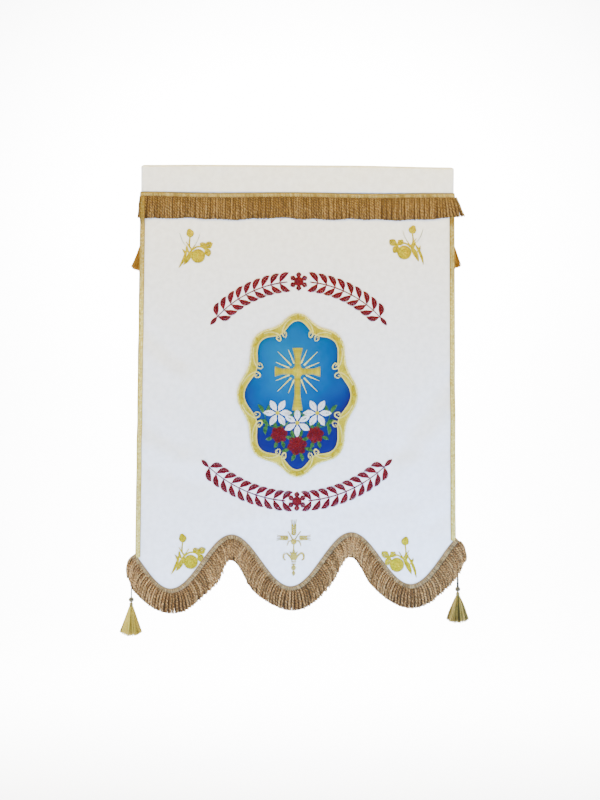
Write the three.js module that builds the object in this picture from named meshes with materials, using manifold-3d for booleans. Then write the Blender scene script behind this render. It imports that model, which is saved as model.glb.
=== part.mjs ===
// A processional church banner, hanging straight down with its front towards -Y.
//
// A cream cloth with three scallops along its hem hangs from a sewn rod sleeve. Fringes on
// woven tapes cross it under the sleeve and follow the scallops, galloon braid runs down both
// side edges, an oval medallion is sewn on in the middle, and four tassels hang on cords that
// are tacked to its back, two below the hem's corners and two behind the upper edges.
//
// Millimetres, +Z up, +X to the viewer's right. The origin is the middle of the top edge.

import * as THREE from 'three';
import { mergeVertices } from 'three/addons/utils/BufferGeometryUtils.js';
import Module from 'manifold-3d';

const wasm = await Module();
wasm.setup();

// ---------------------------------------------------------------- driving dimensions

const CLEARANCE = 0.3; // between pieces that are sewn face to face

const CLOTH = { width: 702, thickness: 2, top: -64.8 };

// The hem's upper tape line swings between lobes and notches about a middle level.
const SCALLOP = { level: -880.8, depth: 115.4, pitch: 263, lobeX: -9.5, tilt: 0.024 };

const SLEEVE = { width: 701, height: 64.5, crownRadius: 7, wall: 1.4, seam: 7 };

const TAPE = { width: 11, thickness: 2.4, overhang: 2 };

const BRAID = { width: 11.8, overhang: 1.5, thickness: 1.2 };

const MEDALLION = {
  x: 2.5,
  z: -518,
  halfWidth: 134,
  halfHeight: 182,
  lobes: 8,
  lobeDepth: 8,
  plate: 1.3,
  frameRise: 1.3,
  groundHalfWidth: 101,
  groundHalfHeight: 143,
};

// Locks of fringe: their thickness at the root, the body and the tip, and the share of the
// room between their neighbours that they fill. A root sits rootDepth inside the tape.
const LOCK = { thicknesses: [1.7, 3, 2.2], fill: 0.8, rootDepth: 5 };

// Lengths are measured below the tape. Locks within flareWidth of an end flare outwards.
const TOP_FRINGE = { locks: 76, length: 49, waver: 1.6, standOff: 4.7, knee: 9, flareWidth: 26 };
const TOP_FLARE = { left: 13, right: 24, lift: 0.3 };
const HEM_FRINGE = { locks: 104, length: 40, waver: 1.2, flareWidth: 20, flare: 8 };
const END_MARGIN = 1.5; // tape left bare beyond the last lock

// A hem lock starts square to its tape and ends plumb. fan is the share that is square to the
// tape, halfway between lobe and notch, and fanSwing is what a lobe adds and a notch takes.
const HEM_FAN = { fan: 0.5, fanSwing: 0.22, flareAtBend: 0.35, bulge: 0.5 };

// The uneven lower edge of both fringes, as waves along the row of locks.
const WAVERS = [
  { share: 1, pace: 0.31, phase: 0 },
  { share: 0.6, pace: 0.83, phase: 1 },
  { share: 0.3, pace: 2.1, phase: 0 },
];

// Soft folds pressed into the cloth, from (x1, z1) to (x2, z2). A positive rise stands towards
// the front and a negative one is a trough.
const FOLDS = [
  { x1: -341, z1: -372, x2: -262, z2: -440, width: 21, rise: -3.2 },
  { x1: -341, z1: -420, x2: -250, z2: -490, width: 24, rise: 2.6 },
  { x1: -341, z1: -576, x2: -262, z2: -636, width: 20, rise: -3.4 },
  { x1: -335, z1: -628, x2: -225, z2: -672, width: 22, rise: 3 },
  { x1: -330, z1: -684, x2: -206, z2: -722, width: 20, rise: -3 },
  { x1: -128, z1: -686, x2: -58, z2: -692, width: 20, rise: -2.4 },
  { x1: 108, z1: -662, x2: 6, z2: -730, width: 22, rise: -3 },
  { x1: 338, z1: -482, x2: 222, z2: -640, width: 26, rise: -4.2 },
  { x1: 340, z1: -560, x2: 262, z2: -668, width: 24, rise: 3.4 },
  { x1: 328, z1: -640, x2: 232, z2: -642, width: 20, rise: -2.2 },
  { x1: 254, z1: -752, x2: 120, z2: -770, width: 22, rise: -2.8 },
  { x1: 334, z1: -778, x2: 298, z2: -802, width: 20, rise: -3.2 },
  { x1: -138, z1: -796, x2: -48, z2: -786, width: 18, rise: 2.6 },
  { x1: 4, z1: -812, x2: 40, z2: -840, width: 20, rise: -2.6 },
];
const FOLD_FADE = { top: -84, reach: 70 };

// The hem sways gently in and out below the medallion.
const SWAY = { height: 3, wavelength: 460, phase: 0.6, top: -700, full: -900 };

// Tassels hang on cords from tacks on the cloth's back, behind the cloth or below its hem.
// x and z place the middle of the ball, and flat is the skirt's depth as a share of its spread.
const CORD = { diameter: 3.6, sides: 8, steps: 12 };
const BALL = { radius: 5.4, segments: 10, rings: 6 };
const SKIRT = { spread: 46, neckRadius: 4.6, collar: 1.2, headHeight: 11, waver: 1.5 };
const SKIRT_LOCKS = [
  { count: 12, reach: 1 },
  { count: 4, reach: 0.5 },
];
const SKIRT_LOCK = { inset: 1.4, waist: 0.45, rootThickness: 1.5, tipThickness: 2.4, rootDepth: 5 };
const TASSELS = [
  { at: 'upper_left', behind: true, tackX: -343, tackZ: -84, x: -347, z: -162, drop: 69, flat: 0.36 },
  { at: 'upper_right', behind: true, tackX: 341, tackZ: -82, x: 345, z: -154.5, drop: 68, flat: 0.36 },
  { at: 'lower_left', behind: false, tackX: -346, tackZ: -852, x: -360, z: -970, drop: 68.5, flat: 0.6 },
  { at: 'lower_right', behind: false, tackX: 347, tackZ: -838, x: 356.5, z: -943, drop: 63.5, flat: 0.6 },
];

const COLOURS = {
  cloth: 0xe3e2de,
  sleeve: 0xdedbd6,
  braid: 0xd8d0a8,
  fringe: 0xa07c47,
  hemFringe: 0x96805e,
  ground: 0x1e6fb4,
  tassel: 0xbfae7c,
  upperTassel: 0xb8893c,
  cord: 0x8c8a66,
};

// ---------------------------------------------------------------- the cloth's surface

const smooth = THREE.MathUtils.smoothstep;
const lerp = THREE.MathUtils.lerp;
const braidInnerX = CLOTH.width / 2 + BRAID.overhang - BRAID.width;

/** 1 at the middle of a lobe of the hem, -1 at the middle of a notch. */
function lobeShare(x) {
  return Math.cos(((x - SCALLOP.lobeX) / SCALLOP.pitch) * 2 * Math.PI);
}

/** Upper line of the hem's tape at x. */
function hemTapeTop(x) {
  return SCALLOP.level + SCALLOP.tilt * x - (SCALLOP.depth / 2) * lobeShare(x);
}

/** Slope of that line at x. */
function hemSlope(x) {
  const turn = (2 * Math.PI) / SCALLOP.pitch;
  return SCALLOP.tilt + (SCALLOP.depth / 2) * turn * Math.sin((x - SCALLOP.lobeX) * turn);
}

/** Line that runs a distance below the hem tape's upper line, measured square to it. */
function belowTapeTop(x, distance) {
  return hemTapeTop(x) - distance * Math.hypot(1, hemSlope(x));
}

/** How far the point (x, z) lies from a fold's middle line. */
function distanceToFold(fold, x, z) {
  const run = new THREE.Line3(
    new THREE.Vector3(fold.x1, 0, fold.z1),
    new THREE.Vector3(fold.x2, 0, fold.z2),
  );
  const point = new THREE.Vector3(x, 0, z);
  return run.closestPointToPoint(point, true, new THREE.Vector3()).distanceTo(point);
}

/** 0 over the medallion, which holds the cloth flat, and 1 well away from it. */
function clearOfMedallion(x, z) {
  const across = Math.abs((x - MEDALLION.x) / MEDALLION.halfWidth);
  const up = Math.abs((z - MEDALLION.z) / MEDALLION.halfHeight);
  return smooth(Math.cbrt(across ** 3 + up ** 3), 1.04, 1.3);
}

/** Depth of the cloth's middle surface. Braid and tape hold it even across their width. */
function drape(x, z) {
  const inX = THREE.MathUtils.clamp(x, -braidInnerX, braidInnerX);
  const inZ = Math.max(z, hemTapeTop(inX));
  let rise = 0;
  for (const fold of FOLDS) {
    rise += fold.rise * Math.exp(-((distanceToFold(fold, inX, inZ) / fold.width) ** 2));
  }
  const folded = rise * smooth(FOLD_FADE.top - inZ, 0, FOLD_FADE.reach) * clearOfMedallion(inX, inZ);
  const low = smooth(-inZ, -SWAY.top, -SWAY.full);
  const sway = SWAY.height * low * Math.sin((inX / SWAY.wavelength) * 2 * Math.PI + SWAY.phase);
  return sway - folded;
}

// ---------------------------------------------------------------- helpers that make solids

/** A closed strip of cloth: a box of cells whose points are placed by u, w and v. */
function clothStrip(columns, rows, place) {
  const geometry = new THREE.BoxGeometry(1, 1, 1, columns, 1, rows);
  const points = geometry.attributes.position;
  const moved = new THREE.Vector3();
  for (let i = 0; i < points.count; i += 1) {
    moved.copy(place(points.getX(i) + 0.5, points.getY(i), points.getZ(i) + 0.5));
    points.setXYZ(i, moved.x, moved.y, moved.z);
  }
  return welded(geometry);
}

/** The same geometry with only positions, and with shared points merged. */
function welded(geometry) {
  const bare = geometry.clone();
  for (const name of Object.keys(bare.attributes)) {
    if (name !== 'position') bare.deleteAttribute(name);
  }
  return mergeVertices(bare);
}

/** A closed body through rings of equally many points, each ring a list of vectors. */
function loft(rings) {
  const sides = rings[0].length;
  const index = [];
  for (let r = 0; r < rings.length - 1; r += 1) {
    for (let s = 0; s < sides; s += 1) {
      const here = r * sides + s;
      const next = r * sides + ((s + 1) % sides);
      index.push(here, next, here + sides, next, next + sides, here + sides);
    }
  }
  const last = (rings.length - 1) * sides;
  for (let s = 1; s < sides - 1; s += 1) {
    index.push(0, s + 1, s);
    index.push(last, last + s, last + s + 1);
  }
  const geometry = new THREE.BufferGeometry().setFromPoints(rings.flat());
  geometry.setIndex(index);
  return geometry;
}

/** A four-sided ring about a centre, half a width along side and half a depth along face. */
function ringAbout(centre, side, face, width, depth) {
  const across = side.clone().multiplyScalar(width / 2);
  const out = face.clone().multiplyScalar(depth / 2);
  return [
    centre.clone().sub(across).sub(out),
    centre.clone().add(across).sub(out),
    centre.clone().add(across).add(out),
    centre.clone().sub(across).add(out),
  ];
}

/** Joins overlapping closed geometries into one closed body. */
function fuse(geometries) {
  const solids = geometries.map((geometry) => {
    const mesh = welded(geometry);
    const vertProperties = new Float32Array(mesh.attributes.position.array);
    const triVerts = new Uint32Array(mesh.index.array);
    return new wasm.Manifold(new wasm.Mesh({ numProp: 3, vertProperties, triVerts }));
  });
  const joined = solids.reduce((sum, solid) => sum.add(solid)).getMesh();
  const geometry = new THREE.BufferGeometry();
  geometry.setAttribute('position', new THREE.BufferAttribute(joined.vertProperties, 3));
  geometry.setIndex(new THREE.BufferAttribute(joined.triVerts, 1));
  return geometry;
}

// ---------------------------------------------------------------- panel, sleeve, braid, tape

const GRID = { columns: 38, rows: 24 }; // cells between the braids, and above the hem's tape

/** Places of the cloth's columns: one under each braid, the rest spread evenly between. */
function columnX(u, edge) {
  const k = Math.round(u * (GRID.columns + 2)) - 1;
  if (k < 0) return -edge;
  if (k > GRID.columns) return edge;
  return lerp(-braidInnerX, braidInnerX, k / GRID.columns);
}

/** Height of row k of the cloth: row 0 is the hem's tape line, and rows lie level under braid. */
function rowZ(x, k) {
  const inX = THREE.MathUtils.clamp(x, -braidInnerX, braidInnerX);
  return lerp(hemTapeTop(k === 0 ? x : inX), CLOTH.top, k / GRID.rows);
}

function panel() {
  return clothStrip(GRID.columns + 2, GRID.rows + 1, (u, w, v) => {
    const x = columnX(u, CLOTH.width / 2);
    const k = Math.round(v * (GRID.rows + 1)) - 1;
    const z = k < 0 ? belowTapeTop(x, TAPE.width - 1.5) : rowZ(x, k);
    return new THREE.Vector3(x, drape(x, z) + w * CLOTH.thickness, z);
  });
}

/** Depth of the middle of a strip that is sewn on the cloth's front. */
function frontDepth(x, z, thickness) {
  return drape(x, z) - CLOTH.thickness / 2 - CLEARANCE - thickness / 2;
}

function sideBraid(side) {
  const columns = [braidInnerX, CLOTH.width / 2, CLOTH.width / 2 + BRAID.overhang];
  const topRow = GRID.rows - 1;
  return clothStrip(columns.length - 1, topRow, (u, w, v) => {
    const k = Math.round(v * topRow);
    const column = Math.round((side > 0 ? u : 1 - u) * (columns.length - 1));
    const x = side * columns[column];
    const z = rowZ(x, k) + (k === 0 ? 2 * CLEARANCE : 0);
    return new THREE.Vector3(x, frontDepth(x, z, BRAID.thickness) + w * BRAID.thickness, z);
  });
}

/** The sleeve's section: a crown, two walls that slant to the seam, and the rod's space. */
function rodSleeve() {
  const { width, height, crownRadius, wall, seam } = SLEEVE;
  const outline = new THREE.Shape();
  outline.moveTo(wall, -height);
  outline.lineTo(crownRadius, -crownRadius);
  outline.absarc(0, -crownRadius, crownRadius, 0, Math.PI);
  outline.lineTo(-wall, -height);
  const space = new THREE.Path();
  space.moveTo(0, seam - height);
  space.lineTo(crownRadius - wall, -crownRadius);
  space.absarc(0, -crownRadius, crownRadius - wall, 0, Math.PI);
  outline.holes.push(space);
  const geometry = new THREE.ExtrudeGeometry(outline, {
    depth: width,
    steps: 1,
    curveSegments: 10,
    bevelEnabled: false,
  });
  const upright = new THREE.Matrix4().makeBasis(
    new THREE.Vector3(0, 1, 0),
    new THREE.Vector3(0, 0, 1),
    new THREE.Vector3(1, 0, 0),
  );
  return geometry.applyMatrix4(upright).translate(-width / 2, 0, 0);
}

// ---------------------------------------------------------------- fringes

const UP = new THREE.Vector3(0, 0, 1);
const FRONT = new THREE.Vector3(0, -1, 0);

/** One lock through root, middle and tip points, as wide as its neighbours leave room for. */
function lock(path, before, after) {
  const rings = path.map((point, r) => {
    const next = path[Math.min(r + 1, path.length - 1)];
    const last = path[Math.max(r - 1, 0)];
    const along = next.clone().sub(last).normalize();
    const side = new THREE.Vector3().crossVectors(FRONT, along).normalize();
    const room = Math.min(
      Math.abs(before[r].clone().sub(point).dot(side)),
      Math.abs(after[r].clone().sub(point).dot(side)),
    );
    return ringAbout(point, side, FRONT, LOCK.fill * room, LOCK.thicknesses[r]);
  });
  return loft(rings);
}

/** Fuses a tape and a row of locks whose paths come from a function of the lock's number. */
function fringe(tape, count, pathOf) {
  const paths = [];
  for (let i = -1; i <= count; i += 1) {
    paths.push(pathOf(i));
  }
  const locks = [];
  for (let i = 1; i <= count; i += 1) {
    locks.push(lock(paths[i], paths[i - 1], paths[i + 1]));
  }
  return fuse([tape, ...locks]);
}

/** Small uneven swing of a fringe's lower edge at lock i. */
function waver(i, height) {
  return WAVERS.reduce((sum, wave) => {
    return sum + height * wave.share * Math.sin(i * wave.pace + wave.phase);
  }, 0);
}

/** 0 away from a tape's ends, rising to 1 at the end itself. */
function nearEnd(x, half, reach) {
  return Math.max(0, (Math.abs(x) - half) / reach + 1);
}

function topFringe() {
  const half = CLOTH.width / 2 + TAPE.overhang;
  const top = -SLEEVE.height;
  const tapeDepth = frontDepth(0, top, TAPE.thickness);
  const tape = clothStrip(1, 1, (u, w, v) => {
    const z = top - (1 - v) * TAPE.width;
    return new THREE.Vector3(lerp(-half, half, u), tapeDepth + w * TAPE.thickness, z);
  });
  const spacing = (2 * (half - END_MARGIN)) / TOP_FRINGE.locks;
  const edge = top - TAPE.width;
  return fringe(tape, TOP_FRINGE.locks, (i) => {
    const x = (i + 0.5 - TOP_FRINGE.locks / 2) * spacing;
    const flare = x < 0 ? -TOP_FLARE.left : TOP_FLARE.right;
    const lean = flare * nearEnd(x, half, TOP_FRINGE.flareWidth) ** 2;
    const drop = TOP_FRINGE.length + waver(i, TOP_FRINGE.waver) - Math.abs(lean) * TOP_FLARE.lift;
    return [
      new THREE.Vector3(x, tapeDepth, edge + LOCK.rootDepth),
      new THREE.Vector3(x + lean / 2, -TOP_FRINGE.standOff, edge - TOP_FRINGE.knee),
      new THREE.Vector3(x + lean, -TOP_FRINGE.standOff, edge - drop),
    ];
  });
}

/** The x of count + 2 points spread evenly along the hem, with one past either end. */
function evenHemX(count, half) {
  const fine = 2000;
  const step = (2 * half) / fine;
  const lengths = [0];
  for (let k = 1; k <= fine; k += 1) {
    lengths.push(lengths[k - 1] + Math.hypot(1, hemSlope((k - 0.5) * step - half)) * step);
  }
  const spots = [];
  for (let i = 0; i < count; i += 1) {
    const wanted = ((i + 0.5) / count) * lengths[fine];
    spots.push(lengths.findIndex((length) => length >= wanted) * step - half);
  }
  const first = 2 * spots[0] - spots[1];
  const last = 2 * spots[count - 1] - spots[count - 2];
  return [first, ...spots, last];
}

function hemFringe() {
  const half = CLOTH.width / 2 + TAPE.overhang;
  const tape = clothStrip(GRID.columns + 2, 1, (u, w, v) => {
    const x = columnX(u, half);
    const z = v > 0.5 ? hemTapeTop(x) : belowTapeTop(x, TAPE.width);
    return new THREE.Vector3(x, frontDepth(x, z, TAPE.thickness) + w * TAPE.thickness, z);
  });
  const spots = evenHemX(HEM_FRINGE.locks, half - END_MARGIN);
  return fringe(tape, HEM_FRINGE.locks, (i) => {
    const x = spots[i + 1];
    const normal = new THREE.Vector3(hemSlope(x), 0, -1).normalize();
    const fan = HEM_FAN.fan + HEM_FAN.fanSwing * lobeShare(x);
    const near = nearEnd(x, half, HEM_FRINGE.flareWidth);
    const flare = Math.sign(x) * HEM_FRINGE.flare * near ** 2;
    const length = HEM_FRINGE.length + waver(i, HEM_FRINGE.waver);
    const y = frontDepth(x, hemTapeTop(x), TAPE.thickness);
    const root = new THREE.Vector3(x, y, belowTapeTop(x, TAPE.width / 2));
    const tip = root.clone().addScaledVector(normal, TAPE.width / 2 + fan * length);
    tip.addScaledVector(UP, -(1 - fan) * length);
    const square = root.clone().addScaledVector(normal, (TAPE.width + fan * length) / 2);
    square.x += flare * HEM_FAN.flareAtBend;
    tip.x += flare;
    const bend = root.clone().lerp(tip, 0.5).lerp(square, 0.5);
    bend.addScaledVector(FRONT, HEM_FAN.bulge);
    return [root, bend, tip];
  });
}

// ---------------------------------------------------------------- medallion

/** A closed outline of the medallion, its lobes swinging about an oval. */
function ovalOutline(halfWidth, halfHeight, lobeDepth, points) {
  const outline = [];
  for (let i = 0; i < points; i += 1) {
    const turn = (i / points) * 2 * Math.PI;
    const lobe = lobeDepth * (Math.cos(MEDALLION.lobes * turn) - 1) * 0.5;
    outline.push(
      new THREE.Vector2((halfWidth + lobe) * Math.cos(turn), (halfHeight + lobe) * Math.sin(turn)),
    );
  }
  return outline;
}

/** Raises an outline off the cloth, from one distance to another in front of it. */
function raise(outline, from, to, hole = null) {
  const shape = new THREE.Shape(outline);
  if (hole) shape.holes.push(new THREE.Path(hole));
  const geometry = new THREE.ExtrudeGeometry(shape, {
    depth: to - from,
    steps: 1,
    bevelEnabled: false,
  });
  const facing = new THREE.Matrix4().makeBasis(
    new THREE.Vector3(1, 0, 0),
    new THREE.Vector3(0, 0, 1),
    new THREE.Vector3(0, -1, 0),
  );
  const back = -CLOTH.thickness / 2 - CLEARANCE - from;
  return geometry.applyMatrix4(facing).translate(MEDALLION.x, back, MEDALLION.z);
}

function medallion() {
  const { halfWidth, halfHeight, lobeDepth, plate, frameRise } = MEDALLION;
  const outer = ovalOutline(halfWidth, halfHeight, 2 * lobeDepth, 64);
  const rim = ovalOutline(halfWidth - 2, halfHeight - 2, 2 * lobeDepth, 64);
  const inner = ovalOutline(MEDALLION.groundHalfWidth, MEDALLION.groundHalfHeight, 0, 40);
  return fuse([raise(outer, 0, plate), raise(rim, plate / 2, plate + frameRise, inner)]);
}

// ---------------------------------------------------------------- tassels

/** Depth of the middle of a round piece that lies on the cloth's back at (x, z). */
function backDepth(x, z, radius) {
  return drape(x, z) + CLOTH.thickness / 2 + CLEARANCE + radius;
}

/** Depth of a tassel's piece: just clear of the cloth's back, or straight under its tack. */
function hangDepth(tassel, radius) {
  if (tassel.behind) return backDepth(tassel.x, tassel.z, radius);
  return backDepth(tassel.tackX, tassel.tackZ, CORD.diameter / 2);
}

/** A cord's route from its tack on the cloth's back to the top of its ball. */
function cordRoute(tassel) {
  const radius = CORD.diameter / 2;
  const ballDepth = hangDepth(tassel, BALL.radius);
  const end = tassel.z + BALL.radius + CLEARANCE;
  const points = [];
  for (const share of [0, 0.15, 0.35, 0.6, 0.8, 1]) {
    const z = lerp(tassel.tackZ, end, share);
    const x = lerp(tassel.tackX, tassel.x, smooth(share, 0, 0.9));
    const y = lerp(backDepth(x, z, radius), ballDepth, smooth(share, 0.1, 0.9));
    points.push(new THREE.Vector3(x, y, z));
  }
  return points;
}

function cord(tassel) {
  const section = new THREE.Shape();
  section.absarc(0, 0, CORD.diameter / 2, 0, 2 * Math.PI);
  return new THREE.ExtrudeGeometry(section, {
    steps: CORD.steps,
    curveSegments: CORD.sides / 2,
    bevelEnabled: false,
    extrudePath: new THREE.CatmullRomCurve3(cordRoute(tassel)),
  });
}

/** A round body about the Z axis from a profile of radius and height. */
function turned(profile, segments) {
  const points = profile.map(([radius, height]) => new THREE.Vector2(radius, height));
  return new THREE.LatheGeometry(points, segments).rotateX(Math.PI / 2);
}

function ball(tassel) {
  const profile = [];
  for (let k = 0; k <= BALL.rings; k += 1) {
    const turn = (k / BALL.rings - 0.5) * Math.PI;
    const radius = k % BALL.rings === 0 ? 0 : BALL.radius * Math.cos(turn);
    profile.push([radius, BALL.radius * Math.sin(turn)]);
  }
  const depth = hangDepth(tassel, BALL.radius);
  return turned(profile, BALL.segments).translate(tassel.x, depth, tassel.z);
}

/** One lock of a skirt, hanging from the head at a turn about its middle. */
function skirtLock(tassel, turn, reach, room, drop) {
  const out = new THREE.Vector3(Math.cos(turn), Math.sin(turn), 0);
  const rings = [1, SKIRT_LOCK.waist, 0].map((share) => {
    const across = lerp(SKIRT.neckRadius, SKIRT.spread / 2, share) - SKIRT_LOCK.inset;
    const deep = lerp(SKIRT.neckRadius, (SKIRT.spread / 2) * tassel.flat, share) - SKIRT_LOCK.inset;
    const top = share > 0 ? -SKIRT.headHeight : SKIRT_LOCK.rootDepth - SKIRT.headHeight;
    const z = lerp(top, -drop, share);
    const centre = new THREE.Vector3(across * reach * out.x, deep * reach * out.y, z);
    const tangent = new THREE.Vector3(-across * reach * out.y, deep * reach * out.x, 0);
    const width = LOCK.fill * room * tangent.length();
    const side = tangent.normalize();
    const face = new THREE.Vector3().crossVectors(side, UP);
    const thickness = lerp(SKIRT_LOCK.rootThickness, SKIRT_LOCK.tipThickness, share);
    return ringAbout(centre, side, face, width, thickness).reverse();
  });
  return loft(rings);
}

/** A bound head with rings of locks that spread below it to an oval. */
function skirt(tassel) {
  const { neckRadius, collar, headHeight } = SKIRT;
  const profile = [
    [0, -headHeight],
    [neckRadius + collar * 0.7, -headHeight],
    [neckRadius + collar, -headHeight * 0.6],
    [neckRadius, -headHeight * 0.3],
    [neckRadius * 0.7, 0],
    [0, 0],
  ];
  const pieces = [turned(profile, 12)];
  for (const { count, reach } of SKIRT_LOCKS) {
    const room = (2 * Math.PI) / count;
    for (let i = 0; i < count; i += 1) {
      const drop = tassel.drop + waver(i, SKIRT.waver);
      pieces.push(skirtLock(tassel, (i + 0.5) * room, reach, room, drop));
    }
  }
  const top = tassel.z - BALL.radius - CLEARANCE;
  const depth = hangDepth(tassel, (SKIRT.spread / 2) * tassel.flat);
  return fuse(pieces).translate(tassel.x, depth, top);
}

// ---------------------------------------------------------------- the banner

const group = new THREE.Group();

function add(name, geometry, colour, roughness) {
  const material = new THREE.MeshStandardMaterial({ color: colour, roughness, metalness: 0 });
  const mesh = new THREE.Mesh(geometry, material);
  mesh.name = name;
  group.add(mesh);
}

add('rod_sleeve', rodSleeve(), COLOURS.sleeve, 0.85);
add('banner_panel', panel(), COLOURS.cloth, 0.85);
add('left_braid', sideBraid(-1), COLOURS.braid, 0.55);
add('right_braid', sideBraid(1), COLOURS.braid, 0.55);
add('top_fringe', topFringe(), COLOURS.fringe, 0.6);
add('hem_fringe', hemFringe(), COLOURS.hemFringe, 0.6);
add('medallion', medallion(), COLOURS.ground, 0.5);
for (const tassel of TASSELS) {
  const colour = tassel.behind ? COLOURS.upperTassel : COLOURS.tassel;
  add(`cord_${tassel.at}`, cord(tassel), COLOURS.cord, 0.7);
  add(`ball_${tassel.at}`, ball(tassel), colour, 0.55);
  add(`skirt_${tassel.at}`, skirt(tassel), colour, 0.6);
}

export default group;
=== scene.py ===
import math

import bmesh
import bpy
import numpy as np
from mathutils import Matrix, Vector


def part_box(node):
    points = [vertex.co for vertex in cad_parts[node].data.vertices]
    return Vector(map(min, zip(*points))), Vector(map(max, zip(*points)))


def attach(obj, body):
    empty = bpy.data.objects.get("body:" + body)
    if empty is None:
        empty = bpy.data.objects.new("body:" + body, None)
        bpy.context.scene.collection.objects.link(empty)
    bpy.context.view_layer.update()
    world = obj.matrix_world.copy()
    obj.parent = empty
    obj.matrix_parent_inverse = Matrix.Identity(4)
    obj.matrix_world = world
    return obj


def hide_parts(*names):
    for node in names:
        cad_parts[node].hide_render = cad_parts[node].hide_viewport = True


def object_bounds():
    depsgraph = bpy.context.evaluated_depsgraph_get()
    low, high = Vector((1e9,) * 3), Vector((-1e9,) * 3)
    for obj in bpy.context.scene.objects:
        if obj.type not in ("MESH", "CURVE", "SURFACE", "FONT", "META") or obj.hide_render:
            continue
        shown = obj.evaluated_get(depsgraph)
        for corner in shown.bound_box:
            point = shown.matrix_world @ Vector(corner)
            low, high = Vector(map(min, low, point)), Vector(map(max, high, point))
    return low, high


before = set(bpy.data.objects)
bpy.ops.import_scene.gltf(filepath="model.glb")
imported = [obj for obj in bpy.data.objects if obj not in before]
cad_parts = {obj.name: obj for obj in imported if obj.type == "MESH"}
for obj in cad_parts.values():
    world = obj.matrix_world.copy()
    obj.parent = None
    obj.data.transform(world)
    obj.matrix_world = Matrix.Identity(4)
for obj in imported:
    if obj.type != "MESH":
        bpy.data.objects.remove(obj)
cad_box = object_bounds()
MM = 0.001


# ---- Camera, floor and light
# The banner hangs in a white studio, seen square on from a little below its middle.
# A pale floor curves up into a backdrop far behind it, and large soft lights face it.

CAMERA_DISTANCE = 2.6
CAMERA_PITCH = math.radians(3.87)
CAMERA_ROLL = math.radians(0.3)
CAMERA_LENS, CAMERA_SENSOR = 52.77, 36
LOOK_AT = Vector((0.0082, 0, -0.529))
FLOOR_DROP, FLOOR_NEAR, FLOOR_HALF_WIDTH = 0.35, -4.0, 6.0
BACKDROP_DISTANCE, BACKDROP_TOP = 3.2, 4.0
SWEEP_RADIUS, SWEEP_STEPS = 1.2, 16
STUDIO_WHITE = (0.93, 0.93, 0.93, 1)
AIR_STRENGTH = 0.45

# Each light: place, aim, size, watts and colour.
SOFT_LIGHTS = {
    "warm_above": ((0.1, -0.85, 0.6), (0, 0, -0.15), (1.9, 0.3), 42, (1.0, 0.73, 0.07)),
    "cool_below": ((0.3, -0.8, -1.3), (0, 0, -0.8), (1.9, 0.3), 59, (0.15, 0.41, 1.0)),
    "side_left": ((-1.7, -0.9, -0.4), (0, 0, -0.5), (0.5, 1.2), 30, (1, 1, 1)),
    "side_right": ((1.9, -1.1, -0.3), (0, 0, -0.5), (0.6, 1.4), 30, (1, 1, 1)),
    "backdrop_wash": ((0, 0.9, 1.2), (0, 3.0, -0.6), (3.0, 1.0), 1400, (1, 1, 1)),
}


def sweep():
    """A floor that curves up into a backdrop, as one strip."""
    floor_z = cad_box[0][2] - FLOOR_DROP
    profile = [(FLOOR_NEAR, floor_z)]
    for step in range(SWEEP_STEPS + 1):
        turn = math.radians(90) * step / SWEEP_STEPS
        profile.append((
            BACKDROP_DISTANCE - SWEEP_RADIUS + SWEEP_RADIUS * math.sin(turn),
            floor_z + SWEEP_RADIUS - SWEEP_RADIUS * math.cos(turn),
        ))
    profile.append((BACKDROP_DISTANCE, BACKDROP_TOP))
    verts = [(side * FLOOR_HALF_WIDTH, y, z) for y, z in profile for side in (-1, 1)]
    faces = [(2 * i, 2 * i + 1, 2 * i + 3, 2 * i + 2) for i in range(len(profile) - 1)]
    mesh = bpy.data.meshes.new("studio_sweep")
    mesh.from_pydata(verts, [], faces)
    mesh.polygons.foreach_set("use_smooth", [True] * len(faces))
    return bpy.data.objects.new("studio_sweep", mesh)


def soft_light(name, place, aim, size, energy, colour):
    """A rectangular light that the camera doesn't see, turned towards its aim."""
    light = bpy.data.lights.new(name, "AREA")
    light.shape = "RECTANGLE"
    light.size, light.size_y = size
    light.energy = energy
    light.color = colour
    lamp = bpy.data.objects.new(name, light)
    lamp.location = place
    lamp.visible_camera = False
    lamp.rotation_euler = (Vector(aim) - Vector(place)).to_track_quat("-Z", "Y").to_euler()
    bpy.context.scene.collection.objects.link(lamp)


floor = sweep()
bpy.context.scene.collection.objects.link(floor)
floor_paint = bpy.data.materials.new("studio_white")
floor_paint.use_nodes = True
floor_shader = floor_paint.node_tree.nodes["Principled BSDF"]
floor_shader.inputs["Base Color"].default_value = STUDIO_WHITE
floor_shader.inputs["Roughness"].default_value = 0.9
floor.data.materials.append(floor_paint)

for name, facts in SOFT_LIGHTS.items():
    soft_light(name, *facts)

world = bpy.data.worlds.new("studio_air")
world.use_nodes = True
world.node_tree.nodes["Background"].inputs["Color"].default_value = (1, 1, 1, 1)
world.node_tree.nodes["Background"].inputs["Strength"].default_value = AIR_STRENGTH
bpy.context.scene.world = world

camera_data = bpy.data.cameras.new("camera")
camera_data.lens = CAMERA_LENS
camera_data.sensor_width = CAMERA_SENSOR
camera = bpy.data.objects.new("camera", camera_data)
facing = Vector((0, math.cos(CAMERA_PITCH), math.sin(CAMERA_PITCH)))
camera.location = LOOK_AT - CAMERA_DISTANCE * facing
camera.rotation_euler = (math.radians(90) + CAMERA_PITCH, 0, 0)
camera.rotation_euler.rotate_axis("Z", CAMERA_ROLL)
bpy.context.scene.collection.objects.link(camera)
bpy.context.scene.camera = camera


# ---- The cloth
# One sheet of white damask, 702 mm wide, with three scallops cut in its lower edge.
# It hangs from the sleeve's seam, with soft folds pressed in where it was rolled up.

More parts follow.
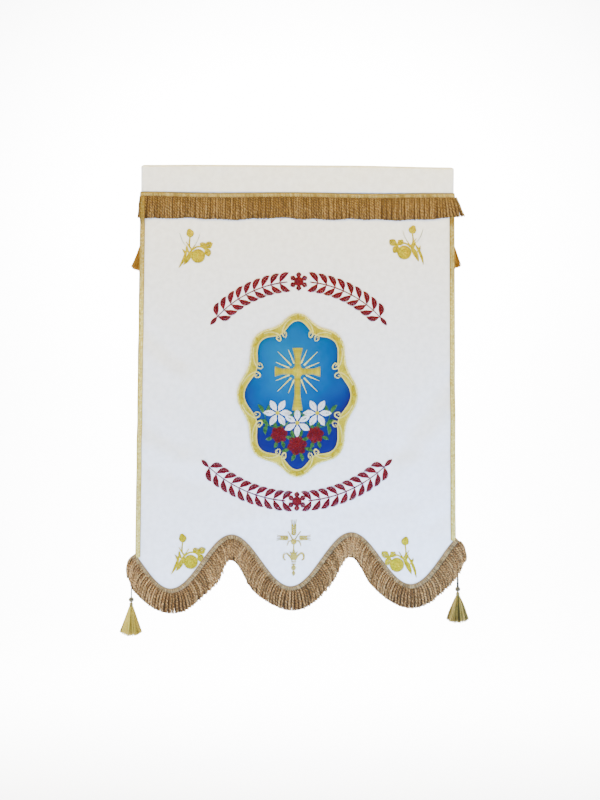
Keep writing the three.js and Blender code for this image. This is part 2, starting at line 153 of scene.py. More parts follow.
CLOTH_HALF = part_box("banner_panel")[1][0]
CLOTH_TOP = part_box("banner_panel")[1][2]
CLOTH_THICKNESS = 2.0 * MM
CLEARANCE = 0.3 * MM
SCALLOP_LEVEL, SCALLOP_DEPTH = -880.8 * MM, 115.4 * MM
SCALLOP_PITCH, SCALLOP_LOBE_X, SCALLOP_TILT = 263 * MM, -9.5 * MM, 0.024
TAPE_WIDTH = 11 * MM
BRAID_INNER_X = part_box("right_braid")[0][0]
MEDALLION_CENTRE = (2.5 * MM, -518 * MM)
MEDALLION_HALF = (134 * MM, 182 * MM)

# Folds fade in below the fringe and round the medallion, which keeps the cloth flat, over
# these shares of its half sizes. Towards the hem the cloth sways gently as well.
FOLDS_START, FOLDS_FADE, FLAT_SHARES = -84 * MM, 70 * MM, (1.04, 1.3)
SWAY, SWAY_PITCH, SWAY_LEVELS = 3 * MM, 460 * MM, (700 * MM, 900 * MM)

# Each fold: start, end, width and rise in millimetres; a positive rise stands to the front.
FOLDS = [
    ((-341, -372), (-262, -440), 21, -3.2),
    ((-341, -420), (-250, -490), 24, 2.6),
    ((-341, -576), (-262, -636), 20, -3.4),
    ((-335, -628), (-225, -672), 22, 3),
    ((-330, -684), (-206, -722), 20, -3),
    ((-128, -686), (-58, -692), 20, -2.4),
    ((108, -662), (6, -730), 22, -3),
    ((338, -482), (222, -640), 26, -4.2),
    ((340, -560), (262, -668), 24, 3.4),
    ((328, -640), (232, -642), 20, -2.2),
    ((254, -752), (120, -770), 22, -2.8),
    ((334, -778), (298, -802), 20, -3.2),
    ((-138, -796), (-48, -786), 18, 2.6),
    ((4, -812), (40, -840), 20, -2.6),
]


def smoothstep(value, low, high):
    """0 below low and 1 above high, with a smooth rise between them."""
    share = np.clip((value - low) / (high - low), 0, 1)
    return share * share * (3 - 2 * share)


def lobe_share(x):
    """1 at the middle of a lobe of the hem, -1 at the middle of a notch."""
    return np.cos((x - SCALLOP_LOBE_X) / SCALLOP_PITCH * 2 * math.pi)


def hem_tape_top(x):
    """Height of the upper line of the hem's tape, which follows the scallops."""
    return SCALLOP_LEVEL + SCALLOP_TILT * x - SCALLOP_DEPTH / 2 * lobe_share(x)


def hem_slope(x):
    """Slope of that line."""
    turn = 2 * math.pi / SCALLOP_PITCH
    return SCALLOP_TILT + SCALLOP_DEPTH / 2 * turn * np.sin((x - SCALLOP_LOBE_X) * turn)


def below_tape_top(x, distance):
    """Height of a line that lies below the tape's upper line, square to it."""
    return hem_tape_top(x) - distance * np.hypot(1, hem_slope(x))


def drape(x, z):
    """Depth of the cloth's middle surface; braid and tape hold it even across their width."""
    x = np.clip(x, -BRAID_INNER_X, BRAID_INNER_X)
    z = np.maximum(z, hem_tape_top(x))
    rise = np.zeros(np.broadcast(x, z).shape)
    for start, end, width, height in FOLDS:
        start = np.array(start) * MM
        run = np.array(end) * MM - start
        share = np.clip(((x - start[0]) * run[0] + (z - start[1]) * run[1]) / (run @ run), 0, 1)
        away = np.hypot(x - start[0] - share * run[0], z - start[1] - share * run[1])
        rise = rise + height * MM * np.exp(-((away / (width * MM)) ** 2))
    across = np.abs((x - MEDALLION_CENTRE[0]) / MEDALLION_HALF[0])
    up = np.abs((z - MEDALLION_CENTRE[1]) / MEDALLION_HALF[1])
    rise = rise * smoothstep(np.cbrt(across ** 3 + up ** 3), *FLAT_SHARES)
    rise = rise * smoothstep(FOLDS_START - z, 0, FOLDS_FADE)
    sway = SWAY * smoothstep(-z, *SWAY_LEVELS) * np.sin(x / SWAY_PITCH * 2 * math.pi + 0.6)
    return sway - rise


def front_depth(x, z):
    """Depth of the back of a layer that is sewn on the cloth's front."""
    return drape(x, z) - CLOTH_THICKNESS / 2 - CLEARANCE


def smooth_mesh(name, verts, faces, finish):
    """A smooth-shaded piece in one finish, its points already where they belong."""
    mesh = bpy.data.meshes.new(name)
    mesh.from_pydata([tuple(v) for v in verts], [], faces)
    mesh.polygons.foreach_set("use_smooth", [True] * len(mesh.polygons))
    mesh.update()
    mesh.materials.append(finish)
    piece = bpy.data.objects.new(name, mesh)
    bpy.context.scene.collection.objects.link(piece)
    return piece


def cloth_slab(name, x, z, front, back, finish):
    """A closed slab over a grid of x and z, between a front and a back depth."""
    rows, columns = x.shape
    verts = [np.stack([x, depth, z], -1).reshape(-1, 3) for depth in (front, back)]
    faces = []
    shift = rows * columns
    for r in range(rows - 1):
        for c in range(columns - 1):
            a = r * columns + c
            faces.append((a, a + columns, a + columns + 1, a + 1))
            faces.append((a + shift, a + shift + 1, a + shift + columns + 1, a + shift + columns))
    rim = list(range(columns))
    rim += [r * columns + columns - 1 for r in range(1, rows)]
    rim += [(rows - 1) * columns + c for c in range(columns - 2, -1, -1)]
    rim += [r * columns for r in range(rows - 2, 0, -1)]
    for here, there in zip(rim, rim[1:] + rim[:1]):
        faces.append((here, there, there + shift, here + shift))
    return smooth_mesh(name, np.concatenate(verts), faces, finish)


def settle(piece, slot, *nodes):
    """The finished piece hangs with the banner and stands for its plain solids."""
    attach(piece, "root")
    if nodes:
        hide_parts(*nodes)


def put(tree, kind, feeds=(), **settings):
    """Adds a node with its settings, and feeds its inputs from sockets or plain values."""
    node = tree.nodes.new(kind)
    for key, value in settings.items():
        setattr(node, key, value)
    for key, value in dict(feeds).items():
        if isinstance(value, bpy.types.NodeSocket):
            tree.links.new(value, node.inputs[key])
        else:
            node.inputs[key].default_value = value
    return node


def new_finish(name, roughness, sheen=0.0):
    """A new material, its node tree and its shader."""
    material = bpy.data.materials.new(name)
    material.use_nodes = True
    shader = material.node_tree.nodes["Principled BSDF"]
    shader.inputs["Roughness"].default_value = roughness
    shader.inputs["Sheen Weight"].default_value = sheen
    shader.inputs["Sheen Roughness"].default_value = 0.4
    return material, material.node_tree, shader


def tone_ramp(tree, share, *stops):
    """Colours from stops, each (position, colour), picked by a share from 0 to 1."""
    node = put(tree, "ShaderNodeValToRGB", {"Fac": share})
    elements = node.color_ramp.elements
    elements[0].position, elements[1].position = stops[0][0], stops[-1][0]
    for position, colour in stops[1:-1]:
        elements.new(position)
    for element, (position, colour) in zip(elements, stops):
        element.color = (*colour, 1)
    return node.outputs["Color"]


def relief(tree, shader, tone, height, distance, strength):
    """Gives the shader its colour and a fine bump."""
    bump = put(tree, "ShaderNodeBump", {"Height": height, "Distance": distance,
                                        "Strength": strength})
    tree.links.new(tone, shader.inputs["Base Color"])
    tree.links.new(bump.outputs["Normal"], shader.inputs["Normal"])


def damask():
    """White cloth: fine crossed threads, and a faint tone-on-tone figure woven in."""
    material, tree, shader = new_finish("white_damask", 0.82, 0.15)
    place = put(tree, "ShaderNodeTexCoord").outputs["Object"]
    figure = put(tree, "ShaderNodeTexNoise", {"Vector": place, "Scale": 85, "Detail": 2})
    slub = put(tree, "ShaderNodeTexNoise", {"Vector": place, "Scale": 900, "Detail": 1})
    across = put(tree, "ShaderNodeTexWave", {"Vector": place, "Scale": 350},
                 wave_type="BANDS", bands_direction="X")
    down = put(tree, "ShaderNodeTexWave", {"Vector": place, "Scale": 350},
               wave_type="BANDS", bands_direction="Z")
    weave = put(tree, "ShaderNodeMath", {0: across.outputs["Fac"], 1: down.outputs["Fac"]},
                operation="MULTIPLY")
    rough = put(tree, "ShaderNodeMath", {0: weave.outputs[0], 1: slub.outputs["Fac"]},
                operation="ADD")
    tone = tone_ramp(tree, figure.outputs["Fac"], (0.35, (0.725, 0.715, 0.695)),
                     (0.65, (0.8, 0.79, 0.773)))
    relief(tree, shader, tone, rough.outputs[0], 0.12 * MM, 0.5)
    return material


white_damask = damask()

HEM_TURN, HEM_TURN_STEP, TAPE_LAP = 16 * MM, 0.25 * MM, 1.5 * MM
columns = np.linspace(-CLOTH_HALF, CLOTH_HALF, 105)
levels = np.linspace(0, 1, 127)
hem_z = below_tape_top(columns, TAPE_WIDTH - TAPE_LAP)
panel_x = np.tile(columns, (len(levels), 1))
panel_z = CLOTH_TOP + levels[:, None] * (hem_z - CLOTH_TOP)[None, :]
middle = drape(panel_x, panel_z)
turn_line = CLOTH_HALF - HEM_TURN
turned_hem = HEM_TURN_STEP * smoothstep(np.abs(panel_x), turn_line, turn_line + 1 * MM)
panel = cloth_slab("cloth", panel_x, panel_z, middle - CLOTH_THICKNESS / 2,
                   middle + CLOTH_THICKNESS / 2 + turned_hem, white_damask)
settle(panel, "cream_cloth", "banner_panel")


# ---- The rod sleeve
# The plain band across the top: the cloth turned over and stitched down along its lower edge.
# It stands a little open, and its fold droops slightly towards the right-hand end.

SLEEVE_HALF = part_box("rod_sleeve")[1][0]
SLEEVE_DROP = -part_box("rod_sleeve")[0][2]
CROWN_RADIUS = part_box("rod_sleeve")[1][1]
SLEEVE_WALL, SLEEVE_SEAM = 1.4 * MM, 7 * MM
SLEEVE_END_ROUNDING, SLEEVE_END_REACH = 2.6 * MM, 6 * MM
SLEEVE_DROOP_RIGHT, SLEEVE_DROOP_LEFT = 3.5 * MM, 1.2 * MM


def tube_faces(stations, size, capped=True):
    """Faces of a tube: rings of size points at stations, with its two ends closed or open."""
    faces = []
    for s in range(stations - 1):
        for k in range(size):
            a, b = s * size + k, s * size + (k + 1) % size
            faces.append((a, b, b + size, a + size))
    if capped:
        faces.append(tuple(range(size))[::-1])
        faces.append(tuple((stations - 1) * size + k for k in range(size)))
    return faces


def sleeve_loop(crown, seam_half, bottom, crown_steps=14, wall_steps=12):
    """Points (y, z) of a loop over the crown, from the seam at the front to the back."""
    front = [(-seam_half + (seam_half - crown) * s / wall_steps,
              bottom + (-CROWN_RADIUS - bottom) * s / wall_steps) for s in range(wall_steps)]
    over = [(-crown * math.cos(math.pi * s / crown_steps),
             -CROWN_RADIUS + crown * math.sin(math.pi * s / crown_steps))
            for s in range(crown_steps + 1)]
    back = [(-y, z) for y, z in reversed(front)]
    return front + over + back


def rod_sleeve():
    """The folded band: an outer and an inner loop, joined at its two open ends."""
    outer = sleeve_loop(CROWN_RADIUS, SLEEVE_WALL, -SLEEVE_DROP)
    inner = sleeve_loop(CROWN_RADIUS - SLEEVE_WALL, 0.1 * MM, SLEEVE_SEAM - SLEEVE_DROP)
    ring = outer + inner[::-1]
    half = len(outer)
    stations = np.linspace(-SLEEVE_HALF, SLEEVE_HALF, 121)
    verts = []
    for x in stations:
        end = min(1, (SLEEVE_HALF - abs(x)) / SLEEVE_END_REACH)
        rounding = SLEEVE_END_ROUNDING * (1 - math.sqrt(1 - (1 - end) ** 2))
        droop = (SLEEVE_DROOP_RIGHT * smoothstep(x, 0.1, 0.36)
                 + SLEEVE_DROOP_LEFT * smoothstep(-x, 0.2, 0.36))
        ripple = 0.5 * MM * math.sin(x * 31) + 0.35 * MM * math.sin(x * 67 + 1)
        for y, z in ring:
            high = smoothstep(z, -SLEEVE_DROP, 0)
            verts.append((x, y + ripple * high * (1 - high) * 4,
                          z - (rounding + droop) * high))
    size = len(ring)
    faces = tube_faces(len(stations), size, capped=False)
    last = (len(stations) - 1) * size
    for k in range(half - 1):
        a, b = k, k + 1
        c, d = size - 1 - k, size - 2 - k
        faces.append((a, c, d, b))
        faces.append((last + a, last + b, last + d, last + c))
    return smooth_mesh("sleeve", verts, faces, white_damask)


sleeve = rod_sleeve()
settle(sleeve, "cream_cloth", "rod_sleeve")


# ---- The top fringe
# Twisted rayon strands hang in two staggered layers, over a close back row of finer ones,
# from a woven tape that is sewn on under the sleeve. The back layer is painted darker and the
# back row darker still: painted shade between the strands. The tape is oversewn with slanting
# gold stitches, and a darker cord lies along its top edge, its dark colour painted shade.

TOP_TAPE_TOP = CLOTH_TOP + CLEARANCE
TOP_TAPE_HALF = CLOTH_HALF + 2 * MM
TOP_FRINGE_DROP, TOP_ROOT_DROP = 49.5 * MM, 9.5 * MM
TOP_FLARE_LEFT, TOP_FLARE_RIGHT, TOP_FLARE_REACH = -5 * MM, 17.5 * MM, 44 * MM
STITCH_END_GAP, FRINGE_END_GAP = 1 * MM, 0.6 * MM
TAPE_CORD_RADIUS, TAPE_CORD_DROP = 0.9 * MM, 0.4 * MM
FRONT = (0, -1, 0)

# Across the tape from its upper edge: (distance, height) above its underside.
TAPE_SECTION = ((0, 0.4 * MM), (0.5 * MM, 1.4 * MM), (5 * MM, 2.0 * MM), (10 * MM, 1.6 * MM),
                (10.8 * MM, 0.8 * MM))


def thread_tree():
    """Lays threads along guide edges; each leaves its root towards bend and ends at tip."""
    tree = bpy.data.node_groups.new("threads", "GeometryNodeTree")
    wanted = [
        ("Guides", "Geometry", None), ("Pitch", "Float", 0.0015), ("Layers", "Int", 1),
        ("Layer Gap", "Float", 0.001), ("Layer Shift", "Vector", (0, 0, 0)),
        ("Radius", "Float", 0.0007), ("Flat", "Float", 1.0),
        ("Taper", "Float", 0.3), ("Scatter", "Vector", (0, 0, 0)), ("Stray", "Vector", (0, 0, 0)),
        ("Clump", "Vector", (0, 0, 0)), ("Clump Scale", "Float", 90.0),
        ("Shade Scale", "Float", 240.0), ("Shade Spread", "Float", 0.45),
        ("Shade Drift", "Float", 1.5), ("Shade Level", "Float", -0.48),
        ("Painted Layer Shade", "Float", 0.0), ("Wave", "Float", 0.0),
        ("Waves", "Float", 2.0), ("Sides", "Int", 4), ("Steps", "Int", 6), ("Seed", "Int", 1),
        ("Material", "Material", None),
    ]
    for name, kind, value in wanted:
        socket = tree.interface.new_socket(name, in_out="INPUT", socket_type="NodeSocket" + kind)
        if value is not None:
            socket.default_value = value
    tree.interface.new_socket("Threads", in_out="OUTPUT", socket_type="NodeSocketGeometry")
    given = put(tree, "NodeGroupInput").outputs
    result = put(tree, "NodeGroupOutput")

    def scalar(operation, *values):
        return put(tree, "ShaderNodeMath", dict(enumerate(values)), operation=operation).outputs[0]

    def vector(operation, *values):
        slots = (0, 3) if operation == "SCALE" else range(3)
        node = put(tree, "ShaderNodeVectorMath", dict(zip(slots, values)), operation=operation)
        return node.outputs["Value" if operation == "LENGTH" else "Vector"]

    def total(maths, first, *rest):
        """Sum of scalars or of vectors."""
        for term in rest:
            first = maths("ADD", first, term)
        return first

    def kept(geometry, name, kind, value):
        feeds = {"Geometry": geometry, "Name": name, "Value": value}
        return put(tree, "GeometryNodeStoreNamedAttribute", feeds, data_type=kind,
                   domain="POINT").outputs["Geometry"]

    def recalled(name, kind):
        return put(tree, "GeometryNodeInputNamedAttribute", {"Name": name},
                   data_type=kind).outputs["Attribute"]

    def random_vector(shift):
        return put(tree, "FunctionNodeRandomValue", {
            "Min": (-1, -1, -1), "Max": (1, 1, 1), "ID": index,
            "Seed": scalar("ADD", given["Seed"], shift),
        }, data_type="FLOAT_VECTOR").outputs["Value"]

    def random_number(shift):
        return put(tree, "FunctionNodeRandomValue", {
            "ID": index, "Seed": scalar("ADD", given["Seed"], shift)},
            data_type="FLOAT").outputs[1]

    def drifting(offset, scale):
        """Noise over the roots that differs from layer to layer."""
        return put(tree, "ShaderNodeTexNoise", {
            "Vector": vector("ADD", place, vector("SCALE", offset, layer)),
            "Scale": scale, "Detail": 1.0}, noise_dimensions="3D").outputs

    # Roots at an even pitch along the guides, once for every layer.
    guides = put(tree, "GeometryNodeMeshToCurve", {"Mesh": given["Guides"]}).outputs["Curve"]
    even = put(tree, "GeometryNodeResampleCurve", {"Curve": guides, "Length": given["Pitch"]},
               mode="LENGTH").outputs["Curve"]
    roots = put(tree, "GeometryNodeCurveToPoints", {"Curve": even}, mode="EVALUATED")
    layered = put(tree, "GeometryNodeDuplicateElements", {
        "Geometry": roots.outputs["Points"], "Amount": given["Layers"]}, domain="POINT")
    index = put(tree, "GeometryNodeInputIndex").outputs["Index"]
    place = put(tree, "GeometryNodeInputPosition").outputs["Position"]
    layer = layered.outputs["Duplicate Index"]

    # Where each thread starts and ends, and how light it is, kept on its root.
    lift = vector("ADD", vector("SCALE", FRONT, scalar("MULTIPLY", layer, given["Layer Gap"])),
                  vector("SCALE", given["Layer Shift"], layer))
    root = total(vector, place, vector("MULTIPLY", random_vector(0), given["Scatter"]), lift)
    gathered = vector("SUBTRACT", drifting((0.37, 0.11, 0.23), given["Clump Scale"])["Color"],
                      (0.5, 0.5, 0.5))
    tip = total(vector, recalled("tip", "FLOAT_VECTOR"),
                vector("MULTIPLY", random_vector(1), given["Stray"]),
                vector("MULTIPLY", gathered, given["Clump"]))
    patches = drifting((0.05, 0.21, 0.4), given["Shade Scale"])["Fac"]
    # Each thread's shade: a random tone, noise patches and a level, plus painted shade that darkens
    # the layers further back.
    shade = total(scalar, scalar("MULTIPLY", random_number(7), given["Shade Spread"]),
                  scalar("MULTIPLY", patches, given["Shade Drift"]), given["Shade Level"],
                  scalar("MULTIPLY", layer, given["Painted Layer Shade"]))
    phase = random_number(9)

    points = layered.outputs["Geometry"]
    for name, kind, value in (("root", "FLOAT_VECTOR", root), ("tip", "FLOAT_VECTOR", tip),
                              ("shade", "FLOAT", shade), ("phase", "FLOAT", phase)):
        points = kept(points, name, kind, value)
    points = put(tree, "GeometryNodeSetPosition", {
        "Geometry": points, "Position": vector("SCALE", place, 0.0)}).outputs["Geometry"]

    # A straight strand of unit length for every root, all of them standing at the origin.
    spine = put(tree, "GeometryNodeCurvePrimitiveLine", {"Start": (0, 0, 0), "End": (0, 0, 1)})
    spine = put(tree, "GeometryNodeResampleCurve", {
        "Curve": spine.outputs["Curve"], "Count": scalar("ADD", given["Steps"], 1)}, mode="COUNT")
    ring = put(tree, "GeometryNodeCurvePrimitiveCircle", {
        "Resolution": given["Sides"], "Radius": 1.0})
    strand = put(tree, "GeometryNodeCurveToMesh", {
        "Curve": spine.outputs["Curve"], "Profile Curve": ring.outputs["Curve"],
        "Fill Caps": True})
    strands = put(tree, "GeometryNodeInstanceOnPoints", {
        "Points": points, "Instance": strand.outputs["Mesh"]})
    real = put(tree, "GeometryNodeRealizeInstances", {
        "Geometry": strands.outputs["Instances"]}).outputs["Geometry"]

    # Each strand is bent along a curve from its root by way of bend to tip.
    split = put(tree, "ShaderNodeSeparateXYZ", {"Vector": place}).outputs
    along = split["Z"]
    left = scalar("SUBTRACT", 1.0, along)
    bend_now, tip_now = recalled("bend", "FLOAT_VECTOR"), recalled("tip", "FLOAT_VECTOR")
    middle_share = scalar("MULTIPLY", scalar("MULTIPLY", along, left), 2.0)
    path = vector("ADD", vector("SCALE", bend_now, middle_share),
                  vector("SCALE", tip_now, scalar("MULTIPLY", along, along)))
    turn_share = scalar("MULTIPLY", scalar("SUBTRACT", left, along), 2.0)
    heading = vector("ADD", vector("SCALE", bend_now, turn_share),
                     vector("SCALE", tip_now, scalar("MULTIPLY", along, 2.0)))
    heading = vector("NORMALIZE", heading)
    side = vector("NORMALIZE", vector("CROSS_PRODUCT", FRONT, heading))
    out = vector("CROSS_PRODUCT", heading, side)
    end_share = scalar("ABSOLUTE", scalar("SUBTRACT", scalar("MULTIPLY", along, 2.0), 1.0))
    thinning = scalar("MULTIPLY", scalar("POWER", end_share, 4.0), given["Taper"])
    thick = scalar("MULTIPLY", given["Radius"], scalar("SUBTRACT", 1.0, thinning))
    turns = scalar("ADD", scalar("MULTIPLY", along, given["Waves"]), recalled("phase", "FLOAT"))
    swing = scalar("MULTIPLY", scalar("SINE", scalar("MULTIPLY", turns, 2 * math.pi)),
                   scalar("MULTIPLY", given["Wave"], along))
    aside = scalar("ADD", scalar("MULTIPLY", split["X"], thick), swing)
    ahead = scalar("MULTIPLY", scalar("MULTIPLY", split["Y"], thick), given["Flat"])
    final = total(vector, recalled("root", "FLOAT_VECTOR"), path, vector("SCALE", side, aside),
                  vector("SCALE", out, ahead))
    run = put(tree, "ShaderNodeCombineXYZ", {
        "X": split["X"], "Y": split["Y"],
        "Z": scalar("MULTIPLY", along, vector("LENGTH", tip_now))}).outputs["Vector"]
    real = kept(real, "thread", "FLOAT_VECTOR", run)
    real = kept(real, "final", "FLOAT_VECTOR", final)
    real = put(tree, "GeometryNodeSetPosition", {
        "Geometry": real, "Position": recalled("final", "FLOAT_VECTOR")}).outputs["Geometry"]
    real = put(tree, "GeometryNodeSetShadeSmooth", {"Geometry": real}).outputs["Geometry"]
    real = put(tree, "GeometryNodeSetMaterial", {
        "Geometry": real, "Material": given["Material"]}).outputs["Geometry"]
    tree.links.new(real, result.inputs["Threads"])
    return tree


THREADS = thread_tree()


def lay(name, guides, material, **inputs):
    """Threads over guides, a list of (roots, bends, tips), each an array of x, y, z rows."""
    roots = np.concatenate([guide[0] for guide in guides])
    bends = np.concatenate([guide[1] for guide in guides])
    tips = np.concatenate([guide[2] for guide in guides])
    edges, first = [], 0
    for guide in guides:
        edges += [(k, k + 1) for k in range(first, first + len(guide[0]) - 1)]
        first += len(guide[0])
    mesh = bpy.data.meshes.new(name + "_guide")
    mesh.from_pydata([tuple(point) for point in roots], edges, [])
    for label, points in (("bend", bends), ("tip", tips)):
        store = mesh.attributes.new(label, "FLOAT_VECTOR", "POINT")
        store.data.foreach_set("vector", np.asarray(points, dtype=np.float32).ravel())
    guide_piece = bpy.data.objects.new(name + "_guide", mesh)
    bpy.context.scene.collection.objects.link(guide_piece)
    modifier = guide_piece.modifiers.new("threads", "NODES")
    modifier.node_group = THREADS
    wanted = {key.replace("_", " ").title(): value for key, value in inputs.items()}
    wanted["Material"] = material
    for socket in THREADS.interface.items_tree:
        if socket.in_out == "INPUT" and socket.name in wanted:
            modifier[socket.identifier] = wanted.pop(socket.name)
    ready = guide_piece.evaluated_get(bpy.context.evaluated_depsgraph_get())
    made = bpy.data.meshes.new_from_object(ready)
    made.name = name
    for label in ("root", "bend", "tip", "phase", "final"):
        made.attributes.remove(made.attributes[label])
    bpy.data.objects.remove(guide_piece)
    piece = bpy.data.objects.new(name, made)
    bpy.context.scene.collection.objects.link(piece)
    return piece


def thread_finish(name, shades, roughness=0.5, twist=0.0014, gloss=0.22, groove_shade=0.12, crinkle_amount=0.7):
    """Spun thread: each strand its own shade of the three, its plies twisting along it, with
    painted shade in the grooves between the plies.
    """
    material, tree, shader = new_finish(name, roughness)
    shader.inputs["Specular IOR Level"].default_value = gloss
    shader.inputs["Specular Tint"].default_value = (*[min(1, 1.6 * c + 0.1) for c in shades[2]], 1)
    shade = put(tree, "ShaderNodeAttribute", attribute_name="shade").outputs["Fac"]
    run = put(tree, "ShaderNodeAttribute", attribute_name="thread").outputs["Vector"]
    parts = put(tree, "ShaderNodeSeparateXYZ", {"Vector": run}).outputs
    angle = put(tree, "ShaderNodeMath", {0: parts["Y"], 1: parts["X"]}, operation="ARCTAN2")
    start = put(tree, "ShaderNodeMath", {0: shade, 1: 37.0}, operation="MULTIPLY")
    pace = put(tree, "ShaderNodeMath", {0: parts["Z"], 1: 2 * math.pi / twist,
                                        2: start.outputs[0]}, operation="MULTIPLY_ADD")
    turn = put(tree, "ShaderNodeMath", {0: angle.outputs[0], 1: 2.0, 2: pace.outputs[0]},
               operation="MULTIPLY_ADD")
    ridge = put(tree, "ShaderNodeMath", {0: turn.outputs[0]}, operation="SINE")
    place = put(tree, "ShaderNodeTexCoord").outputs["Object"]
    # Painted highlights and shade: a fine speckle lightens and darkens the threads as light on
    # crinkled strands would.
    crinkle_speckle = put(tree, "ShaderNodeTexNoise", {"Vector": place, "Scale": 420, "Detail": 1})
    mottled = put(tree, "ShaderNodeMath", {0: crinkle_speckle.outputs["Fac"], 1: crinkle_amount, 2: shade},
                  operation="MULTIPLY_ADD")
    centred = put(tree, "ShaderNodeMath", {0: mottled.outputs[0], 1: crinkle_amount / 2},
                  operation="SUBTRACT")
    # Painted shade: the colour is darker in the grooves between the twisted plies.
    shaded_grooves = put(tree, "ShaderNodeMath", {0: ridge.outputs[0], 1: groove_shade, 2: centred.outputs[0]},
                  operation="MULTIPLY_ADD")
    tone = tone_ramp(tree, shaded_grooves.outputs[0], *zip((0.1, 0.5, 0.9), shades))
    relief(tree, shader, tone, ridge.outputs[0], twist / 12, 0.7)
    return material


def face_outwards(piece):
    """Turns every face of a closed piece outwards."""
    shape = bmesh.new()
    shape.from_mesh(piece.data)
    bmesh.ops.recalc_face_normals(shape, faces=shape.faces)
    shape.to_mesh(piece.data)
    shape.free()
    return piece


def strip(name, path, across, section, finish):
    """A flat woven strip on the cloth: section lists (distance across, height) points.

    path and across are arrays of (x, z)."""
    ring = list(section) + [(distance, 0) for distance, height in reversed(section)]
    verts = []
    for distance, height in ring:
        spot = path + across * distance
        verts.append(np.stack([spot[:, 0], front_depth(spot[:, 0], spot[:, 1]) - height,
                               spot[:, 1]], -1))
    verts = np.stack(verts, 1)
    return face_outwards(smooth_mesh(name, verts.reshape(-1, 3), tube_faces(*verts.shape[:2]),
                                     finish))


def woven_finish(name, light, dark, roughness=0.5):
    """A woven strip: close ribs in two tones, with fine slubs."""
    material, tree, shader = new_finish(name, roughness)
    shader.inputs["Specular IOR Level"].default_value = 0.25
    place = put(tree, "ShaderNodeTexCoord").outputs["Object"]
    ribs = put(tree, "ShaderNodeTexWave", {"Vector": place, "Scale": 450, "Distortion": 0.6},
               wave_type="BANDS", bands_direction="DIAGONAL")
    slubs = put(tree, "ShaderNodeTexNoise", {"Vector": place, "Scale": 900, "Detail": 2})
    mixed = put(tree, "ShaderNodeMath", {0: ribs.outputs["Fac"], 1: slubs.outputs["Fac"]},
                operation="MULTIPLY")
    tone = tone_ramp(tree, mixed.outputs[0], (0, dark), (0.5, light))
    relief(tree, shader, tone, mixed.outputs[0], 0.3 * MM, 0.7)
    return material


# A direction that no cord of the banner runs in.
NEVER_ALONG = np.array([0.12, 0.98, 0.17])


def twisted_cord(name, path, radius, finish, lay_length, sides, step):
    """A cord of two plies twisted round each other along a path, closed at both ends."""
    path = np.asarray(path, dtype=float)
    lengths = np.concatenate([[0], np.cumsum(np.linalg.norm(np.diff(path, axis=0), axis=1))])
    count = max(8, int(lengths[-1] / step))
    spots = np.linspace(0, lengths[-1], count)
    line = np.stack([np.interp(spots, lengths, path[:, axis]) for axis in range(3)], -1)
    heading = np.gradient(line, axis=0)
    heading /= np.linalg.norm(heading, axis=1)[:, None]
    side = np.cross(NEVER_ALONG, heading)
    side /= np.linalg.norm(side, axis=1)[:, None]
    up = np.cross(heading, side)
    angles = np.arange(sides) / sides * 2 * math.pi
    lobes = 2 * (angles[None, :] - spots[:, None] / lay_length * 2 * math.pi)
    reach = radius * (0.87 + 0.13 * np.cos(lobes))
    ends = np.clip(np.minimum(spots, spots[::-1]) / radius, 0.02, 1)
    reach = reach * np.sqrt(1 - (1 - ends) ** 2)[:, None]
    verts = (line[:, None] + reach[..., None] * (np.cos(angles)[None, :, None] * side[:, None]
             + np.sin(angles)[None, :, None] * up[:, None]))
    return smooth_mesh(name, verts.reshape(-1, 3), tube_faces(count, sides), finish)


def fine_cord(name, path, radius, finish):
    """The thin twisted cord that edges tapes and braids."""
    return twisted_cord(name, path, radius, finish, 5 * MM, 6, 1.2 * MM)


GOLD_DARK, GOLD, GOLD_LIGHT = (0.06, 0.033, 0.012), (0.135, 0.078, 0.025), (0.3, 0.19, 0.07)
fringe_thread = thread_finish("fringe_rayon", (GOLD_DARK, GOLD, GOLD_LIGHT), twist=6.5 * MM,
                              groove_shade=0.2, crinkle_amount=1.6)
tape_thread = thread_finish("tape_gold", ((0.21, 0.152, 0.045), (0.385, 0.29, 0.098),
                                          (0.55, 0.45, 0.2)), roughness=0.42)
tape_weave = woven_finish("tape_weave", (0.29, 0.215, 0.065), (0.15, 0.105, 0.03))
# A cord lies along the top tape's upper edge; its dark colour is painted shade along that edge.
edge_cord = woven_finish("tape_edge_cord", (0.13, 0.1, 0.028), (0.06, 0.045, 0.014))


def row(*columns):
    """Points from columns for x, y and z, any of which may be one number."""
    return np.stack(np.broadcast_arrays(*columns), -1).astype(float)


def top_tape_line(x):
    """Upper line of the top tape, which was sewn on with a gentle wave."""
    return TOP_TAPE_TOP + 0.4 * MM + 1.1 * MM * np.cos((x + 0.01) * 18.5)


def straight_down(x):
    """Unit vectors (x, z) that point down the cloth."""
    return np.tile([0.0, -1.0], (len(x), 1))


def woven_tape(name, stations, line, away, finish):
    """A woven tape whose upper edge follows line(x)."""
    x = np.linspace(-TOP_TAPE_HALF, TOP_TAPE_HALF, stations)
    return strip(name, np.stack([x, line(x)], -1), away(x), TAPE_SECTION, finish)


def tape_edging(name, stations, line, finish):
    """The cord along a tape's upper edge."""
    x = np.linspace(-TOP_TAPE_HALF, TOP_TAPE_HALF, stations)
    z = line(x)
    path = row(x, front_depth(x, z) - TAPE_CORD_RADIUS, z - TAPE_CORD_DROP)
    return fine_cord(name, path, TAPE_CORD_RADIUS, finish)


